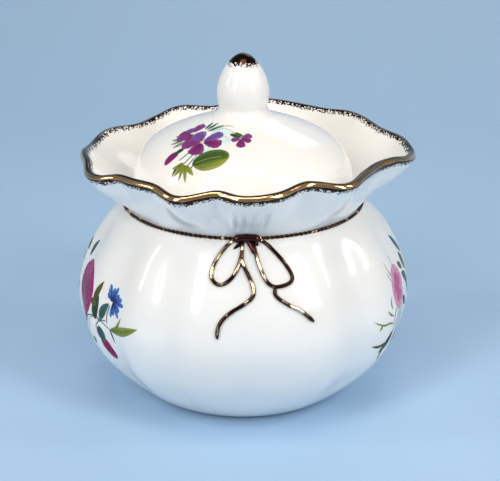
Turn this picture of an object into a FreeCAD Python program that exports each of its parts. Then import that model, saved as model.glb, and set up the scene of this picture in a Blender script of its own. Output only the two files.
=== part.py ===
"""Lidded sugar bowl in the form of a tied cloth pouch, in glazed bone china.

The bowl is a pouch with soft upright gathers and a pinched neck, and a frilled collar with a rounded
lip, luted to the pouch in the plane of the flat gallery that the lid rests on. A relief drawstring
lies in the crease of the neck, tied in a bow at the front: a knot, two loops and two loose tails, each
a thin roll of clay stuck on before firing. The lid is a domed shell with a locating ring under it and
a pointed knob stuck on a flat seat at its top.

Frame: millimetres, +Z up, origin on the bowl's axis in the plane that the foot stands on. The bow
faces -Y. Angles are measured round +Z from the bow, and are positive towards +X.
"""
import FreeCAD
import Part

import bisect
import math
import os

# ---- Driving sizes, mm ----------------------------------------------------------------------------
FOOT_RADIUS = 31.0          # outside of the foot ring, where it stands
FOOT_RING_WIDTH = 3.0
FOOT_RECESS = 1.6           # how far the underside is hollowed within the foot ring
BELLY_RADIUS = 55.0         # widest part of the pouch, over the gathers' crests
BELLY_HEIGHT = 31.5         # height of that widest part
NECK_RADIUS = 38.8          # bottom of the crease that the drawstring lies in
NECK_HEIGHT = 64.2
RIM_RADIUS = 53.0           # mean radius of the lip's outer side
COLLAR_RISE = 15.6          # mean height of the lip's outer side above the neck
WALL = 3.0
FLOOR_THICKNESS = 4.2       # from the surface it stands on to the inside floor
FLOOR_INSET = 11.0          # how far the flat floor stops inside the foot's radius
FLOOR_BEND = 5.0            # height over which the inside wall turns into the floor

GATHER_FOOT = (1.0, 15.0)   # heights between which the gathers grow from nothing to full depth
GATHER_FADE = (9.0, 0.5)    # the same below the neck, where they shrink again
GATHER_AT_NECK = 0.15       # share of their depth left at the neck
FOLD_RISE = (1.0, 2.0)      # the collar's folds grow from this far above the neck to this below the lip
FOLD_INSIDE = 3.0           # and inside they die away over this height above the gallery
FOLD_FLARE = 14.2           # how far the collar flares from neck to lip, for folds just as tabled

NECK_WALL = 5.4             # thickness of the wall at the neck, between crease and mouth
GALLERY_RISE = 2.4          # height above the neck of the flat ring that the lid rests on
GALLERY_WIDTH = 3.1         # how much of that ring the lid covers
MOUTH_DEPTH = 4.0           # straight wall of the mouth below the gallery
SHELF_ROUND = (0.4, 0.9)    # soft corner between gallery and collar: out, up
THROAT_ROUND = 1.6          # soft corner under the mouth's straight wall

LID_SIDE_CLEARANCE = 0.7    # between the lid's edge and the collar, round the gallery
LID_HEIGHT = 26.6           # from the gallery to the knob's seat
LID_WALL = 2.8
LID_EDGE_FILLET = 0.8
RING_CLEARANCE = 0.6        # between the locating ring and the mouth
RING_WALL = 2.4
RING_DEPTH = 5.0
RING_ROOT = (1.2, 2.6)      # hollow above the ring, where it meets the dome: out, up
DOME_CLEAR = (6.0, 0.6)     # the dome's inner curve keeps this far above the gallery, below its ceiling

KNOB_SEAT_RADIUS = 8.6
KNOB_WAIST_RADIUS = 7.8
KNOB_RADIUS = 8.5
KNOB_HEIGHT = 19.8
KNOB_WAIST_HEIGHT = 0.8

CORD_RADIUS = 0.62          # the drawstring in the crease of the neck
STROKE_RADIUS = 0.62        # the rolls of the loops and tails
KNOT_RADIUS = 1.5
SINK = 0.30                 # how far a relief roll beds into the wall

COLUMNS = 96                # poles round a skin
STEP = 3.0                  # spacing of the poles up the pouch
FINE_STEP = 0.8             # the same, in the neck's crease
LIP_POLES = 9               # poles round the lip
ROLL_POLES = 10             # poles round a relief roll
ROLL_END = 0.45             # a roll's radius at its rounded ends, as a share
WALL_SPREAD = 0.35          # how much the wall's radius grows per millimetre below the neck
TILT_REACH = 0.8            # half the height over which the wall's tilt is measured
LINE_DIVISIONS = 12         # steps between two points of an outline before it is spaced out

# ---- What follows from them -----------------------------------------------------------------------
RIM_HEIGHT = NECK_HEIGHT + COLLAR_RISE
GALLERY_HEIGHT = NECK_HEIGHT + GALLERY_RISE
MOUTH_RADIUS = NECK_RADIUS - NECK_WALL
LID_RADIUS = MOUTH_RADIUS + GALLERY_WIDTH
LID_TOP = GALLERY_HEIGHT + LID_HEIGHT
RING_OUTSIDE = MOUTH_RADIUS - RING_CLEARANCE
RING_INSIDE = RING_OUTSIDE - RING_WALL
FLOOR_RADIUS = FOOT_RADIUS - FLOOR_INSET
FOLD_REACH = (RIM_RADIUS - NECK_RADIUS) / FOLD_FLARE   # a steeper collar has shallower folds

# ---- Shapes ---------------------------------------------------------------------------------------
# The lip's folds: angle, how far out of the mean circle, and how far above the mean height.
FOLDS = [
    (-168, 0.2, 0.4), (-155, 2.0, 1.2), (-144, 0.0, -0.6), (-133, -1.2, -1.8), (-121, 1.6, -1.4),
    (-103, 0.0, -2.2), (-89, -0.2, -0.9), (-76, -0.9, -0.8), (-65, 0.7, -1.8), (-57, 0.2, -1.2),
    (-50, -2.1, 0.3), (-41, -2.0, 0.6), (-31, -1.2, 0.7), (-21, 1.7, -0.8), (-9, -2.4, 0.5),
    (0, -0.2, -0.3), (11, -1.2, 0.1), (24, -4.8, 1.5), (37, -0.8, 0.1), (50, -3.6, 0.9),
    (62, -4.6, 1.1), (71, -2.0, 1.0), (80, 1.2, -0.6), (90, 3.3, -1.8), (98, 3.6, -1.6),
    (106, 3.4, -0.9), (117, 1.2, -0.4), (128, 1.6, 1.1), (136, 2.3, 1.7), (146, 0.8, 1.4),
    (157, 0.8, 2.0), (169, 1.4, 2.8), (181, 0.8, 2.2),
]
# The pouch's gathers: angle, depth of the valley (or, if negative, height of the lobe), half width.
GATHERS = [
    (-138, 1.4, 15), (-104, 1.6, 13), (-90, -0.4, 9), (-77, 1.0, 11), (-51, 2.0, 13), (-27, 1.3, 11),
    (1, 1.7, 14), (44, 2.3, 16), (74, 0.9, 12), (96, -1.0, 14), (120, 1.7, 14), (152, 1.5, 15),
    (187, 1.7, 15),
]
# The pouch from foot to widest part, then to neck: share of the radius gained, share of the height.
LOWER_POUCH = [(0.0, 0.0), (0.09, 0.02), (0.25, 0.105), (0.44, 0.225), (0.62, 0.365), (0.81, 0.55),
               (0.94, 0.765), (1.0, 1.0)]
UPPER_POUCH = [(1.0, 0.0), (0.95, 0.22), (0.79, 0.47), (0.575, 0.675), (0.37, 0.825), (0.175, 0.935),
               (0.045, 0.985)]
# The collar from neck to lip: share of the radius gained, share of the height.
COLLAR = [(0.0, 0.0), (0.03, 0.06), (0.13, 0.17), (0.30, 0.32), (0.53, 0.50), (0.78, 0.73),
          (1.0, 1.0)]
# The lid's dome from its edge to the knob's seat: share of the radius, share of the height.
DOME = [(1.0, 0.05), (0.995, 0.16), (0.975, 0.32), (0.935, 0.475), (0.87, 0.60), (0.775, 0.705),
        (0.66, 0.79), (0.52, 0.87), (0.37, 0.94)]
# The knob above its waist: share of its radius, share of its height.
KNOB_SIDE = [(0.91, 0.09), (0.95, 0.18), (0.99, 0.30), (1.0, 0.40), (0.945, 0.52), (0.85, 0.635),
             (0.71, 0.75), (0.51, 0.87), (0.29, 0.955), (0.11, 0.99)]
# Centre lines of the bow's rolls: distance round the neck from the front, and drop below the neck.
LOOP_LEFT = [(-2.4, 0.2), (-5.2, 2.3), (-7.4, 5.2), (-8.6, 8.7), (-7.8, 10.9), (-5.7, 11.7), (-3.0, 9.9),
             (-1.2, 6.7), (-0.3, 3.4), (-0.4, 0.3)]
LOOP_RIGHT = [(4.4, 0.2), (7.3, 1.8), (10.9, 5.6), (13.2, 9.4), (13.0, 11.2), (10.6, 12.1), (8.0, 12.2),
              (6.2, 10.6), (4.6, 7.0), (3.4, 3.0), (2.6, 0.3)]
TAIL_LEFT = [(-0.4, 2.6), (-0.2, 6.0), (1.6, 9.7), (2.8, 12.6), (2.7, 15.0), (0.2, 17.2), (-3.6, 19.5),
             (-6.0, 22.0), (-6.9, 24.8), (-6.9, 26.8)]
TAIL_RIGHT = [(8.6, 12.4), (8.6, 14.6), (11.9, 17.3), (15.6, 19.6), (19.2, 23.0)]
KNOT = [(-2.9, 0.7), (1.1, 0.4), (5.1, 0.7)]

V = FreeCAD.Vector


# ---- Lines and waves ------------------------------------------------------------------------------
def smooth(points, step):
    """Points about step apart on a smooth line through the given 2-D or 3-D points."""
    fine = []
    last = len(points) - 1
    for i in range(last):
        before, start = points[max(i - 1, 0)], points[i]
        end, after = points[i + 1], points[min(i + 2, last)]
        for k in range(LINE_DIVISIONS):
            t = k / LINE_DIVISIONS
            fine.append(tuple(
                0.5 * (2 * b + (c - a) * t + (2 * a - 5 * b + 4 * c - d) * t * t
                       + (3 * b - a - 3 * c + d) * t ** 3)
                for a, b, c, d in zip(before, start, end, after)))
    fine.append(tuple(points[-1]))
    reached = [0.0]
    for p, q in zip(fine, fine[1:]):
        reached.append(reached[-1] + math.dist(p, q))
    count = max(2, round(reached[-1] / step))
    spaced = []
    for n in range(count + 1):
        at = reached[-1] * n / count
        i = min(bisect.bisect_right(reached, at), len(fine) - 1) - 1
        share = (at - reached[i]) / (reached[i + 1] - reached[i])
        spaced.append(tuple(a + (b - a) * share for a, b in zip(fine[i], fine[i + 1])))
    return spaced


def inward(outline, distance):
    """A 2-D outline moved by distance to its left, which is into the wall on the way up the outside."""
    moved = []
    for i, (r, z) in enumerate(outline):
        (r0, z0), (r1, z1) = outline[max(i - 1, 0)], outline[min(i + 1, len(outline) - 1)]
        run = math.hypot(r1 - r0, z1 - z0)
        moved.append((r - distance * (z1 - z0) / run, z + distance * (r1 - r0) / run))
    return moved


def ease(value, low, high):
    """0 at or before low, 1 at or after high, and smooth between them."""
    t = min(1.0, max(0.0, (value - low) / (high - low)))
    return t * t * (3 - 2 * t)


def fold(angle):
    """How far out and up the lip lies at an angle in degrees, on a smooth closed line."""
    marks = [FOLDS[-2], FOLDS[-1]] + FOLDS + FOLDS[:2]
    turns = [m[0] + 360 * lap for m, lap in zip(marks, [-1] * 2 + [0] * len(FOLDS) + [1] * 2)]
    angle = (angle - FOLDS[0][0]) % 360 + FOLDS[0][0]
    i = bisect.bisect_right(turns, angle) - 1
    span = turns[i + 1] - turns[i]
    t = (angle - turns[i]) / span
    out = []
    for axis in (1, 2):
        a, b, c, d = (marks[k][axis] for k in (i - 1, i, i + 1, i + 2))
        slope_b = (c - a) / (turns[i + 1] - turns[i - 1]) * span
        slope_c = (d - b) / (turns[i + 2] - turns[i]) * span
        out.append(b * (2 * t ** 3 - 3 * t * t + 1) + slope_b * (t ** 3 - 2 * t * t + t)
                   + c * (3 * t * t - 2 * t ** 3) + slope_c * (t ** 3 - t * t))
    return out


def gather(angle):
    """Depth of the pouch's gathers at an angle in degrees."""
    depth = 0.0
    for valley, deep, half in GATHERS:
        off = abs((angle - valley + 180) % 360 - 180)
        if off < half:
            depth += deep * math.cos(math.pi / 2 * off / half) ** 2
    return depth


# ---- The bowl's section ---------------------------------------------------------------------------
def pouch_outline():
    """The outside of the pouch from the foot to the neck's crease, as (radius, height)."""
    gain, rise = BELLY_RADIUS - FOOT_RADIUS, NECK_HEIGHT - BELLY_HEIGHT
    lower = [(FOOT_RADIUS + gain * r, BELLY_HEIGHT * h) for r, h in LOWER_POUCH]
    upper = [(NECK_RADIUS + (BELLY_RADIUS - NECK_RADIUS) * r, BELLY_HEIGHT + rise * h)
             for r, h in UPPER_POUCH[1:]]
    return lower + upper


def collar_outline():
    """The outside of the collar from the neck's crease to the lip, as (radius, height)."""
    out, up = RIM_RADIUS - NECK_RADIUS, RIM_HEIGHT - NECK_HEIGHT
    return [(NECK_RADIUS + out * r, NECK_HEIGHT + up * h) for r, h in COLLAR]


def gather_share(height):
    """How much of a gather's depth shows at a height: none at the foot, little at the neck."""
    neck = ease(height, NECK_HEIGHT - GATHER_FADE[0], NECK_HEIGHT - GATHER_FADE[1])
    return ease(height, *GATHER_FOOT) * (1 - (1 - GATHER_AT_NECK) * neck)


def fold_share(height):
    """How much of a fold shows at a height: none at the neck, all of it at the lip."""
    return ease(height, NECK_HEIGHT + FOLD_RISE[0], RIM_HEIGHT - FOLD_RISE[1])


def outer_section():
    """The bowl's section outside: foot, pouch, crease, collar, round the lip, down to the gallery.

    Each station is (radius, height, share of the gathers, share of the folds)."""
    pouch = smooth(pouch_outline(), STEP)
    collar = smooth(collar_outline(), STEP)
    crease = smooth([pouch[-2], pouch[-1], collar[0], collar[1]], FINE_STEP)
    outside = pouch[:-2] + crease + collar[2:]
    back = inward(collar, WALL)
    (tip_r, tip_z), (back_r, back_z) = collar[-1], back[-1]
    mid_r, mid_z = (tip_r + back_r) / 2, (tip_z + back_z) / 2
    start = math.atan2(tip_z - mid_z, tip_r - mid_r)
    lip = [(mid_r + WALL / 2 * math.cos(start + math.pi * k / LIP_POLES),
            mid_z + WALL / 2 * math.sin(start + math.pi * k / LIP_POLES))
           for k in range(1, LIP_POLES)]
    shelf = LID_RADIUS + LID_SIDE_CLEARANCE
    corner = (shelf + SHELF_ROUND[0], GALLERY_HEIGHT + SHELF_ROUND[1])
    inside = [p for p in reversed(back) if p[1] > corner[1] + FINE_STEP and p[0] > corner[0]]
    down = smooth(inside[-2:] + [corner, (shelf, GALLERY_HEIGHT)], FINE_STEP)
    stations = [(r, z, gather_share(z), fold_share(z)) for r, z in outside]
    stations += [(r, z, 0.0, fold_share(z)) for r, z in lip + inside[:-2]]
    stations += [(r, z, 0.0, fold_share(z) * ease(z, GALLERY_HEIGHT, GALLERY_HEIGHT + FOLD_INSIDE))
                 for r, z in down]
    return stations


def inner_section():
    """The bowl's section inside, from the gallery's edge through the mouth down to the floor."""
    below = GALLERY_HEIGHT - MOUTH_DEPTH
    inner = inward(smooth(pouch_outline(), STEP), WALL)
    low = [p for p in inner if FLOOR_THICKNESS + FLOOR_BEND < p[1] < below - MOUTH_DEPTH]
    mouth = [(MOUTH_RADIUS, GALLERY_HEIGHT - MOUTH_DEPTH * k / 4) for k in range(5)]
    turn = smooth([mouth[-1], (MOUTH_RADIUS + THROAT_ROUND, below - THROAT_ROUND), low[-1]],
                  THROAT_ROUND)[1:-1]
    bend = smooth([low[0], (low[0][0] - FLOOR_BEND, FLOOR_THICKNESS + FLOOR_BEND / 3),
                   (FLOOR_RADIUS + FLOOR_BEND, FLOOR_THICKNESS), (FLOOR_RADIUS, FLOOR_THICKNESS)],
                  STEP)[1:]
    stations = mouth + turn + low[::-1] + bend
    return [(r, z, gather_share(z) * ease(z - FLOOR_THICKNESS, 0.0, 2 * FLOOR_BEND)
             * ease(below - z, 0.0, FLOOR_BEND), 0.0) for r, z in stations]


def point(station, angle):
    """A station of the bowl's section at an angle in degrees, with its gathers and folds."""
    radius, height, gathers, folds = station
    out, up = fold(angle)
    radius += out * folds * FOLD_REACH - gather(angle) * gathers
    turn = math.radians(angle)
    return V(radius * math.sin(turn), -radius * math.cos(turn), height + up * folds)


# ---- Skins and solids -----------------------------------------------------------------------------
def skin(rings):
    """A smooth face with the given closed rings of poles, open at its first and last ring."""
    count, rows = len(rings[0]), len(rings)
    surface = Part.BSplineSurface()
    surface.buildFromPolesMultsKnots(
        [[ring[i] for ring in rings] for i in range(count)],
        [1] * (count + 1), [4] + [1] * (rows - 4) + [4],
        list(range(count + 1)), list(range(rows - 2)), True, False, 3, 3)
    return surface.toShape().Faces[0]


def end_edge(face, height):
    """The closed edge of a skin that lies at a height."""
    found = [e for e in face.Edges if e.BoundBox.ZLength < 1e-6 and abs(e.BoundBox.ZMin - height) < 1e-6]
    return found[0]


def flat_ring(outer, inner):
    """A flat face between two closed edges."""
    return Part.makeFace([Part.Wire([outer]), Part.Wire([inner])], "Part::FaceMakerBullseye")


def close(faces):
    """One solid from faces that share their edges."""
    shell = Part.Shell(faces)
    shell.sewShape()
    solid = Part.Solid(shell)
    solid.fix(1e-4, 1e-4, 1e-3)
    return solid if solid.Volume > 0 else solid.reversed()


def ring_at(station):
    """The poles round the bowl at a station of its section."""
    return [point(station, 360.0 * k / COLUMNS) for k in range(COLUMNS)]


def bowl():
    """The bowl in its two pieces: the pouch up to the gallery, and the frilled collar above it."""
    outside = skin([ring_at(s) for s in outer_section()])
    inside = skin([ring_at(s) for s in inner_section()])
    hollow = Part.makeCylinder(FOOT_RADIUS - FOOT_RING_WIDTH, FOOT_RECESS)
    well = [f for f in hollow.Faces if f.BoundBox.ZMax > 1e-6]
    rim = [e for e in hollow.Edges if e.BoundBox.ZMax < 1e-6 and e.Closed][0]
    floor = Part.Face(Part.Wire([end_edge(inside, FLOOR_THICKNESS)]))
    foot = flat_ring(end_edge(outside, 0.0), rim)
    gallery = flat_ring(end_edge(outside, GALLERY_HEIGHT), end_edge(inside, GALLERY_HEIGHT))
    whole = close([outside, inside, floor, foot, gallery] + well)
    below = Part.makeCylinder(2 * BELLY_RADIUS, GALLERY_HEIGHT)
    return whole.common(below).Solids[0], whole.cut(below).Solids[0]


def turned(outline):
    """A solid of revolution round Z from a closed outline of edges in the XZ plane."""
    face = Part.Face(Part.Wire(Part.__sortEdges__(outline)))
    return face.revolve(V(0, 0, 0), V(0, 0, 1), 360)


def at(radius, height):
    """A point of an outline in the XZ plane."""
    return V(radius, 0, height)


def line(*stops):
    """Straight edges from each (radius, height) point to the next."""
    return [Part.LineSegment(at(*p), at(*q)).toShape() for p, q in zip(stops, stops[1:])]


def curve(stops):
    """A smooth edge through (radius, height) points."""
    spline = Part.BSplineCurve()
    spline.interpolate([at(*p) for p in stops])
    return [spline.toShape()]


def lid_ring():
    """The locating ring, luted under the lid, that keeps it over the mouth."""
    ring = Part.makeCylinder(RING_OUTSIDE, RING_DEPTH, at(0, GALLERY_HEIGHT - RING_DEPTH))
    return ring.cut(Part.makeCylinder(RING_INSIDE, RING_DEPTH, at(0, GALLERY_HEIGHT - RING_DEPTH)))


def lid_dome():
    """The lid's shell, with the flat that rests on the gallery."""
    seat, ceiling = GALLERY_HEIGHT, LID_TOP - LID_WALL
    dome = [(LID_RADIUS * r, seat + LID_HEIGHT * h) for r, h in DOME] + [(KNOB_SEAT_RADIUS, LID_TOP)]
    under = [p for p in inward(smooth(dome, STEP), LID_WALL)
             if seat + DOME_CLEAR[0] < p[1] < ceiling - DOME_CLEAR[1]]
    under = [(RING_INSIDE, seat), (RING_INSIDE + RING_ROOT[0], seat + RING_ROOT[1])] + under
    under.append((KNOB_SEAT_RADIUS / 2, ceiling))
    outline = line((LID_RADIUS - LID_EDGE_FILLET, seat), under[0]) + curve(under)
    outline += line(under[-1], (0, ceiling), (0, LID_TOP), dome[-1])
    outline += curve(dome[::-1])
    edge = LID_EDGE_FILLET * (1 - math.sqrt(0.5))
    outline.append(Part.Arc(at(LID_RADIUS, seat + LID_EDGE_FILLET), at(LID_RADIUS - edge, seat + edge),
                            at(LID_RADIUS - LID_EDGE_FILLET, seat)).toShape())
    outline += line((LID_RADIUS, seat + LID_EDGE_FILLET), dome[0])
    return turned(outline)


def lid_knob():
    """The pointed knob, from its flared foot to its tip."""
    side = [(KNOB_SEAT_RADIUS, LID_TOP), (KNOB_WAIST_RADIUS, LID_TOP + KNOB_WAIST_HEIGHT)]
    side += [(KNOB_RADIUS * r, LID_TOP + KNOB_HEIGHT * h) for r, h in KNOB_SIDE]
    side.append((0, LID_TOP + KNOB_HEIGHT))
    return turned(curve(side) + line(side[-1], (0, LID_TOP), side[0]))


def neck_cord():
    """The drawstring, a closed ring bedded in the neck's crease."""
    return Part.makeTorus(NECK_RADIUS + CORD_RADIUS - SINK, CORD_RADIUS, V(0, 0, NECK_HEIGHT))


OUTSIDE = outer_section()


def wall_radius(angle, height):
    """The pouch's outside radius at an angle in degrees and a height."""
    for low, high in zip(OUTSIDE, OUTSIDE[1:]):
        if low[1] <= height <= high[1]:
            share = (height - low[1]) / (high[1] - low[1])
            return low[0] + (high[0] - low[0]) * share - gather(angle) * gather_share(height)
    raise ValueError(f"no wall at height {height}")


def on_wall(round_neck, drop, lift):
    """A point lift above the pouch, from its distance round the neck and drop below it."""
    height = NECK_HEIGHT - drop
    angle = math.degrees(round_neck / (NECK_RADIUS + WALL_SPREAD * drop))
    narrowing = wall_radius(angle, height - TILT_REACH) - wall_radius(angle, height + TILT_REACH)
    tilt = math.atan2(narrowing, 2 * TILT_REACH)
    radius = wall_radius(angle, height) + lift * math.cos(tilt)
    turn = math.radians(angle)
    return V(radius * math.sin(turn), -radius * math.cos(turn), height + lift * math.sin(tilt))


def roll(route, radius):
    """A roll of clay along a route on the pouch, bedded into the wall, with rounded ends."""
    middle = [on_wall(across, drop, radius - SINK) for across, drop in smooth(route, radius)]
    last = len(middle) - 1
    rings = []
    for i, here in enumerate(middle):
        along = (middle[min(i + 1, last)] - middle[max(i - 1, 0)]).normalize()
        side = along.cross(V(here.x, here.y, 0)).normalize()
        up = side.cross(along)
        size = radius * (ROLL_END if i in (0, last) else 1.0)
        rings.append([here + (side * math.cos(turn) + up * math.sin(turn)) * size
                      for turn in (math.tau * k / ROLL_POLES for k in range(ROLL_POLES))])
    tube = skin(rings)
    ends = [e for e in tube.Edges if e.Closed]
    return close([tube] + [Part.Face(Part.Wire([e])) for e in ends])


def main():
    """Build every piece and write each to its own file."""
    os.makedirs("parts", exist_ok=True)
    pouch, collar = bowl()
    pieces = {
        "pouch": pouch,
        "collar": collar,
        "neck_cord": neck_cord(),
        "bow_knot": roll(KNOT, KNOT_RADIUS),
        "bow_loop_left": roll(LOOP_LEFT, STROKE_RADIUS),
        "bow_loop_right": roll(LOOP_RIGHT, STROKE_RADIUS),
        "bow_tail_left": roll(TAIL_LEFT, STROKE_RADIUS),
        "bow_tail_right": roll(TAIL_RIGHT, STROKE_RADIUS),
        "lid_dome": lid_dome(),
        "lid_ring": lid_ring(),
        "lid_knob": lid_knob(),
    }
    for name, shape in pieces.items():
        print(name, shape.isValid(), len(shape.Solids), round(shape.Volume, 1), shape.BoundBox)
        shape.exportStep(f"parts/{name}.step")


main()
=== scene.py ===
"""The looks of a lidded sugar bowl in gilded bone china, shaped like a tied cloth pouch.

The bowl, its lid and its knob are lathe-turned meshes, and the bowl's is then gathered and folded by
the same waves as the solid model. The drawstring, knot, loops and tails are rolls of gilded relief
that lie on the finished bowl, and the flower sprays are thin printed films that do the same.

Lengths are in millimetres up to the moment that a mesh is made, and in metres from then on. Angles are
in degrees round +Z from the bow, which faces -Y, and are positive towards +X.
"""

import bisect
import logging
import math
from dataclasses import dataclass, field, replace
from enum import Enum
from typing import Any, Callable, Sequence

import bmesh
import bpy
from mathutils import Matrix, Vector
from mathutils.bvhtree import BVHTree


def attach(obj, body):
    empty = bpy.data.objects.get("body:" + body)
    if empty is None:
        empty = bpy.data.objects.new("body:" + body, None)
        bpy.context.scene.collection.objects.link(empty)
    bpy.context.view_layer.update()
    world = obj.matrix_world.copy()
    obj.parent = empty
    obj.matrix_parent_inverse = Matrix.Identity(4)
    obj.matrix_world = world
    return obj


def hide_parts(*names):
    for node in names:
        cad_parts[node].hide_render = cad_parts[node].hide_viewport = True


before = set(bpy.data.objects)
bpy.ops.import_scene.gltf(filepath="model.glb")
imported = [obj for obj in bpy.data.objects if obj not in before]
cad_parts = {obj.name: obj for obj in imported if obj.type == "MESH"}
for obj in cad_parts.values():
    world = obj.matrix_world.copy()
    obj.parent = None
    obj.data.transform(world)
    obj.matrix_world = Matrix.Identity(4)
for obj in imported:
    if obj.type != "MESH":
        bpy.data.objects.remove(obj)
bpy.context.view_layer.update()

MM = 0.001
Pair = tuple[float, float]
Colour = tuple[float, float, float]
# How far out of the axis and how high up, in metres, the rays start that look for a surface.
RAY_OUT = 0.09
RAY_UP = 0.2
# Millimetres of the bowl's wall to one degree, where the sprays lie.
WALL_DEGREE = 0.93
# A vertex nearer the axis than this, in millimetres, isn't moved.
AXIS = 1e-4
# A point inside the bowl, in metres, that every printed face looks away from.
MIDDLE = Vector((0, 0, 0.04))
log = logging.getLogger("sugar_bowl")


# ---- Lines and waves ------------------------------------------------------------------------------
def ease(value: float, low: float, high: float) -> float:
    """Blend smoothly from 0 at low to 1 at high."""
    t = min(1.0, max(0.0, (value - low) / (high - low)))
    return t * t * (3 - 2 * t)


def smooth(points: Sequence[tuple], step: float) -> list[tuple]:
    """Space points evenly on a smooth line through the given ones.

    Args:
        points: 2-D or 3-D points that the line passes through.
        step: about how far apart the new points lie, in the points' own unit.

    Returns:
        The new points, with the first and last of the given ones at the ends.
    """
    divisions = 12
    fine = []
    last = len(points) - 1
    for i in range(last):
        corners = (points[max(i - 1, 0)], points[i], points[i + 1], points[min(i + 2, last)])
        for k in range(divisions):
            t = k / divisions
            fine.append(tuple(
                0.5 * (2 * b + (c - a) * t + (2 * a - 5 * b + 4 * c - d) * t * t
                       + (3 * b - a - 3 * c + d) * t ** 3)
                for a, b, c, d in zip(*corners)))
    fine.append(tuple(points[-1]))
    reached = [0.0]
    for p, q in zip(fine, fine[1:]):
        reached.append(reached[-1] + math.dist(p, q))
    count = max(2, round(reached[-1] / step))
    spaced = []
    for n in range(count + 1):
        at = reached[-1] * n / count
        i = min(bisect.bisect_right(reached, at), len(fine) - 1) - 1
        share = (at - reached[i]) / (reached[i + 1] - reached[i])
        spaced.append(tuple(a + (b - a) * share for a, b in zip(fine[i], fine[i + 1])))
    return spaced


def inward(line: Sequence[Pair], distance: float) -> list[Pair]:
    """Move a section line into the wall, which is to its left on the way up the outside.

    Args:
        line: (radius, height) points.
        distance: how far to move each point, along the line's normal.

    Returns:
        The moved points, in the same order.
    """
    moved = []
    for i, (r, z) in enumerate(line):
        (r0, z0), (r1, z1) = line[max(i - 1, 0)], line[min(i + 1, len(line) - 1)]
        run = math.hypot(r1 - r0, z1 - z0)
        moved.append((r - distance * (z1 - z0) / run, z + distance * (r1 - r0) / run))
    return moved


@dataclass(frozen=True)
class Station:
    """A point of the bowl's section, and how much of each wave shows there."""

    radius: float
    height: float
    gathers: float = 0.0
    folds: float = 0.0
    pleats: float = 0.0
    nicks: float = 0.0
    past_lip: float = 99.0


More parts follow.
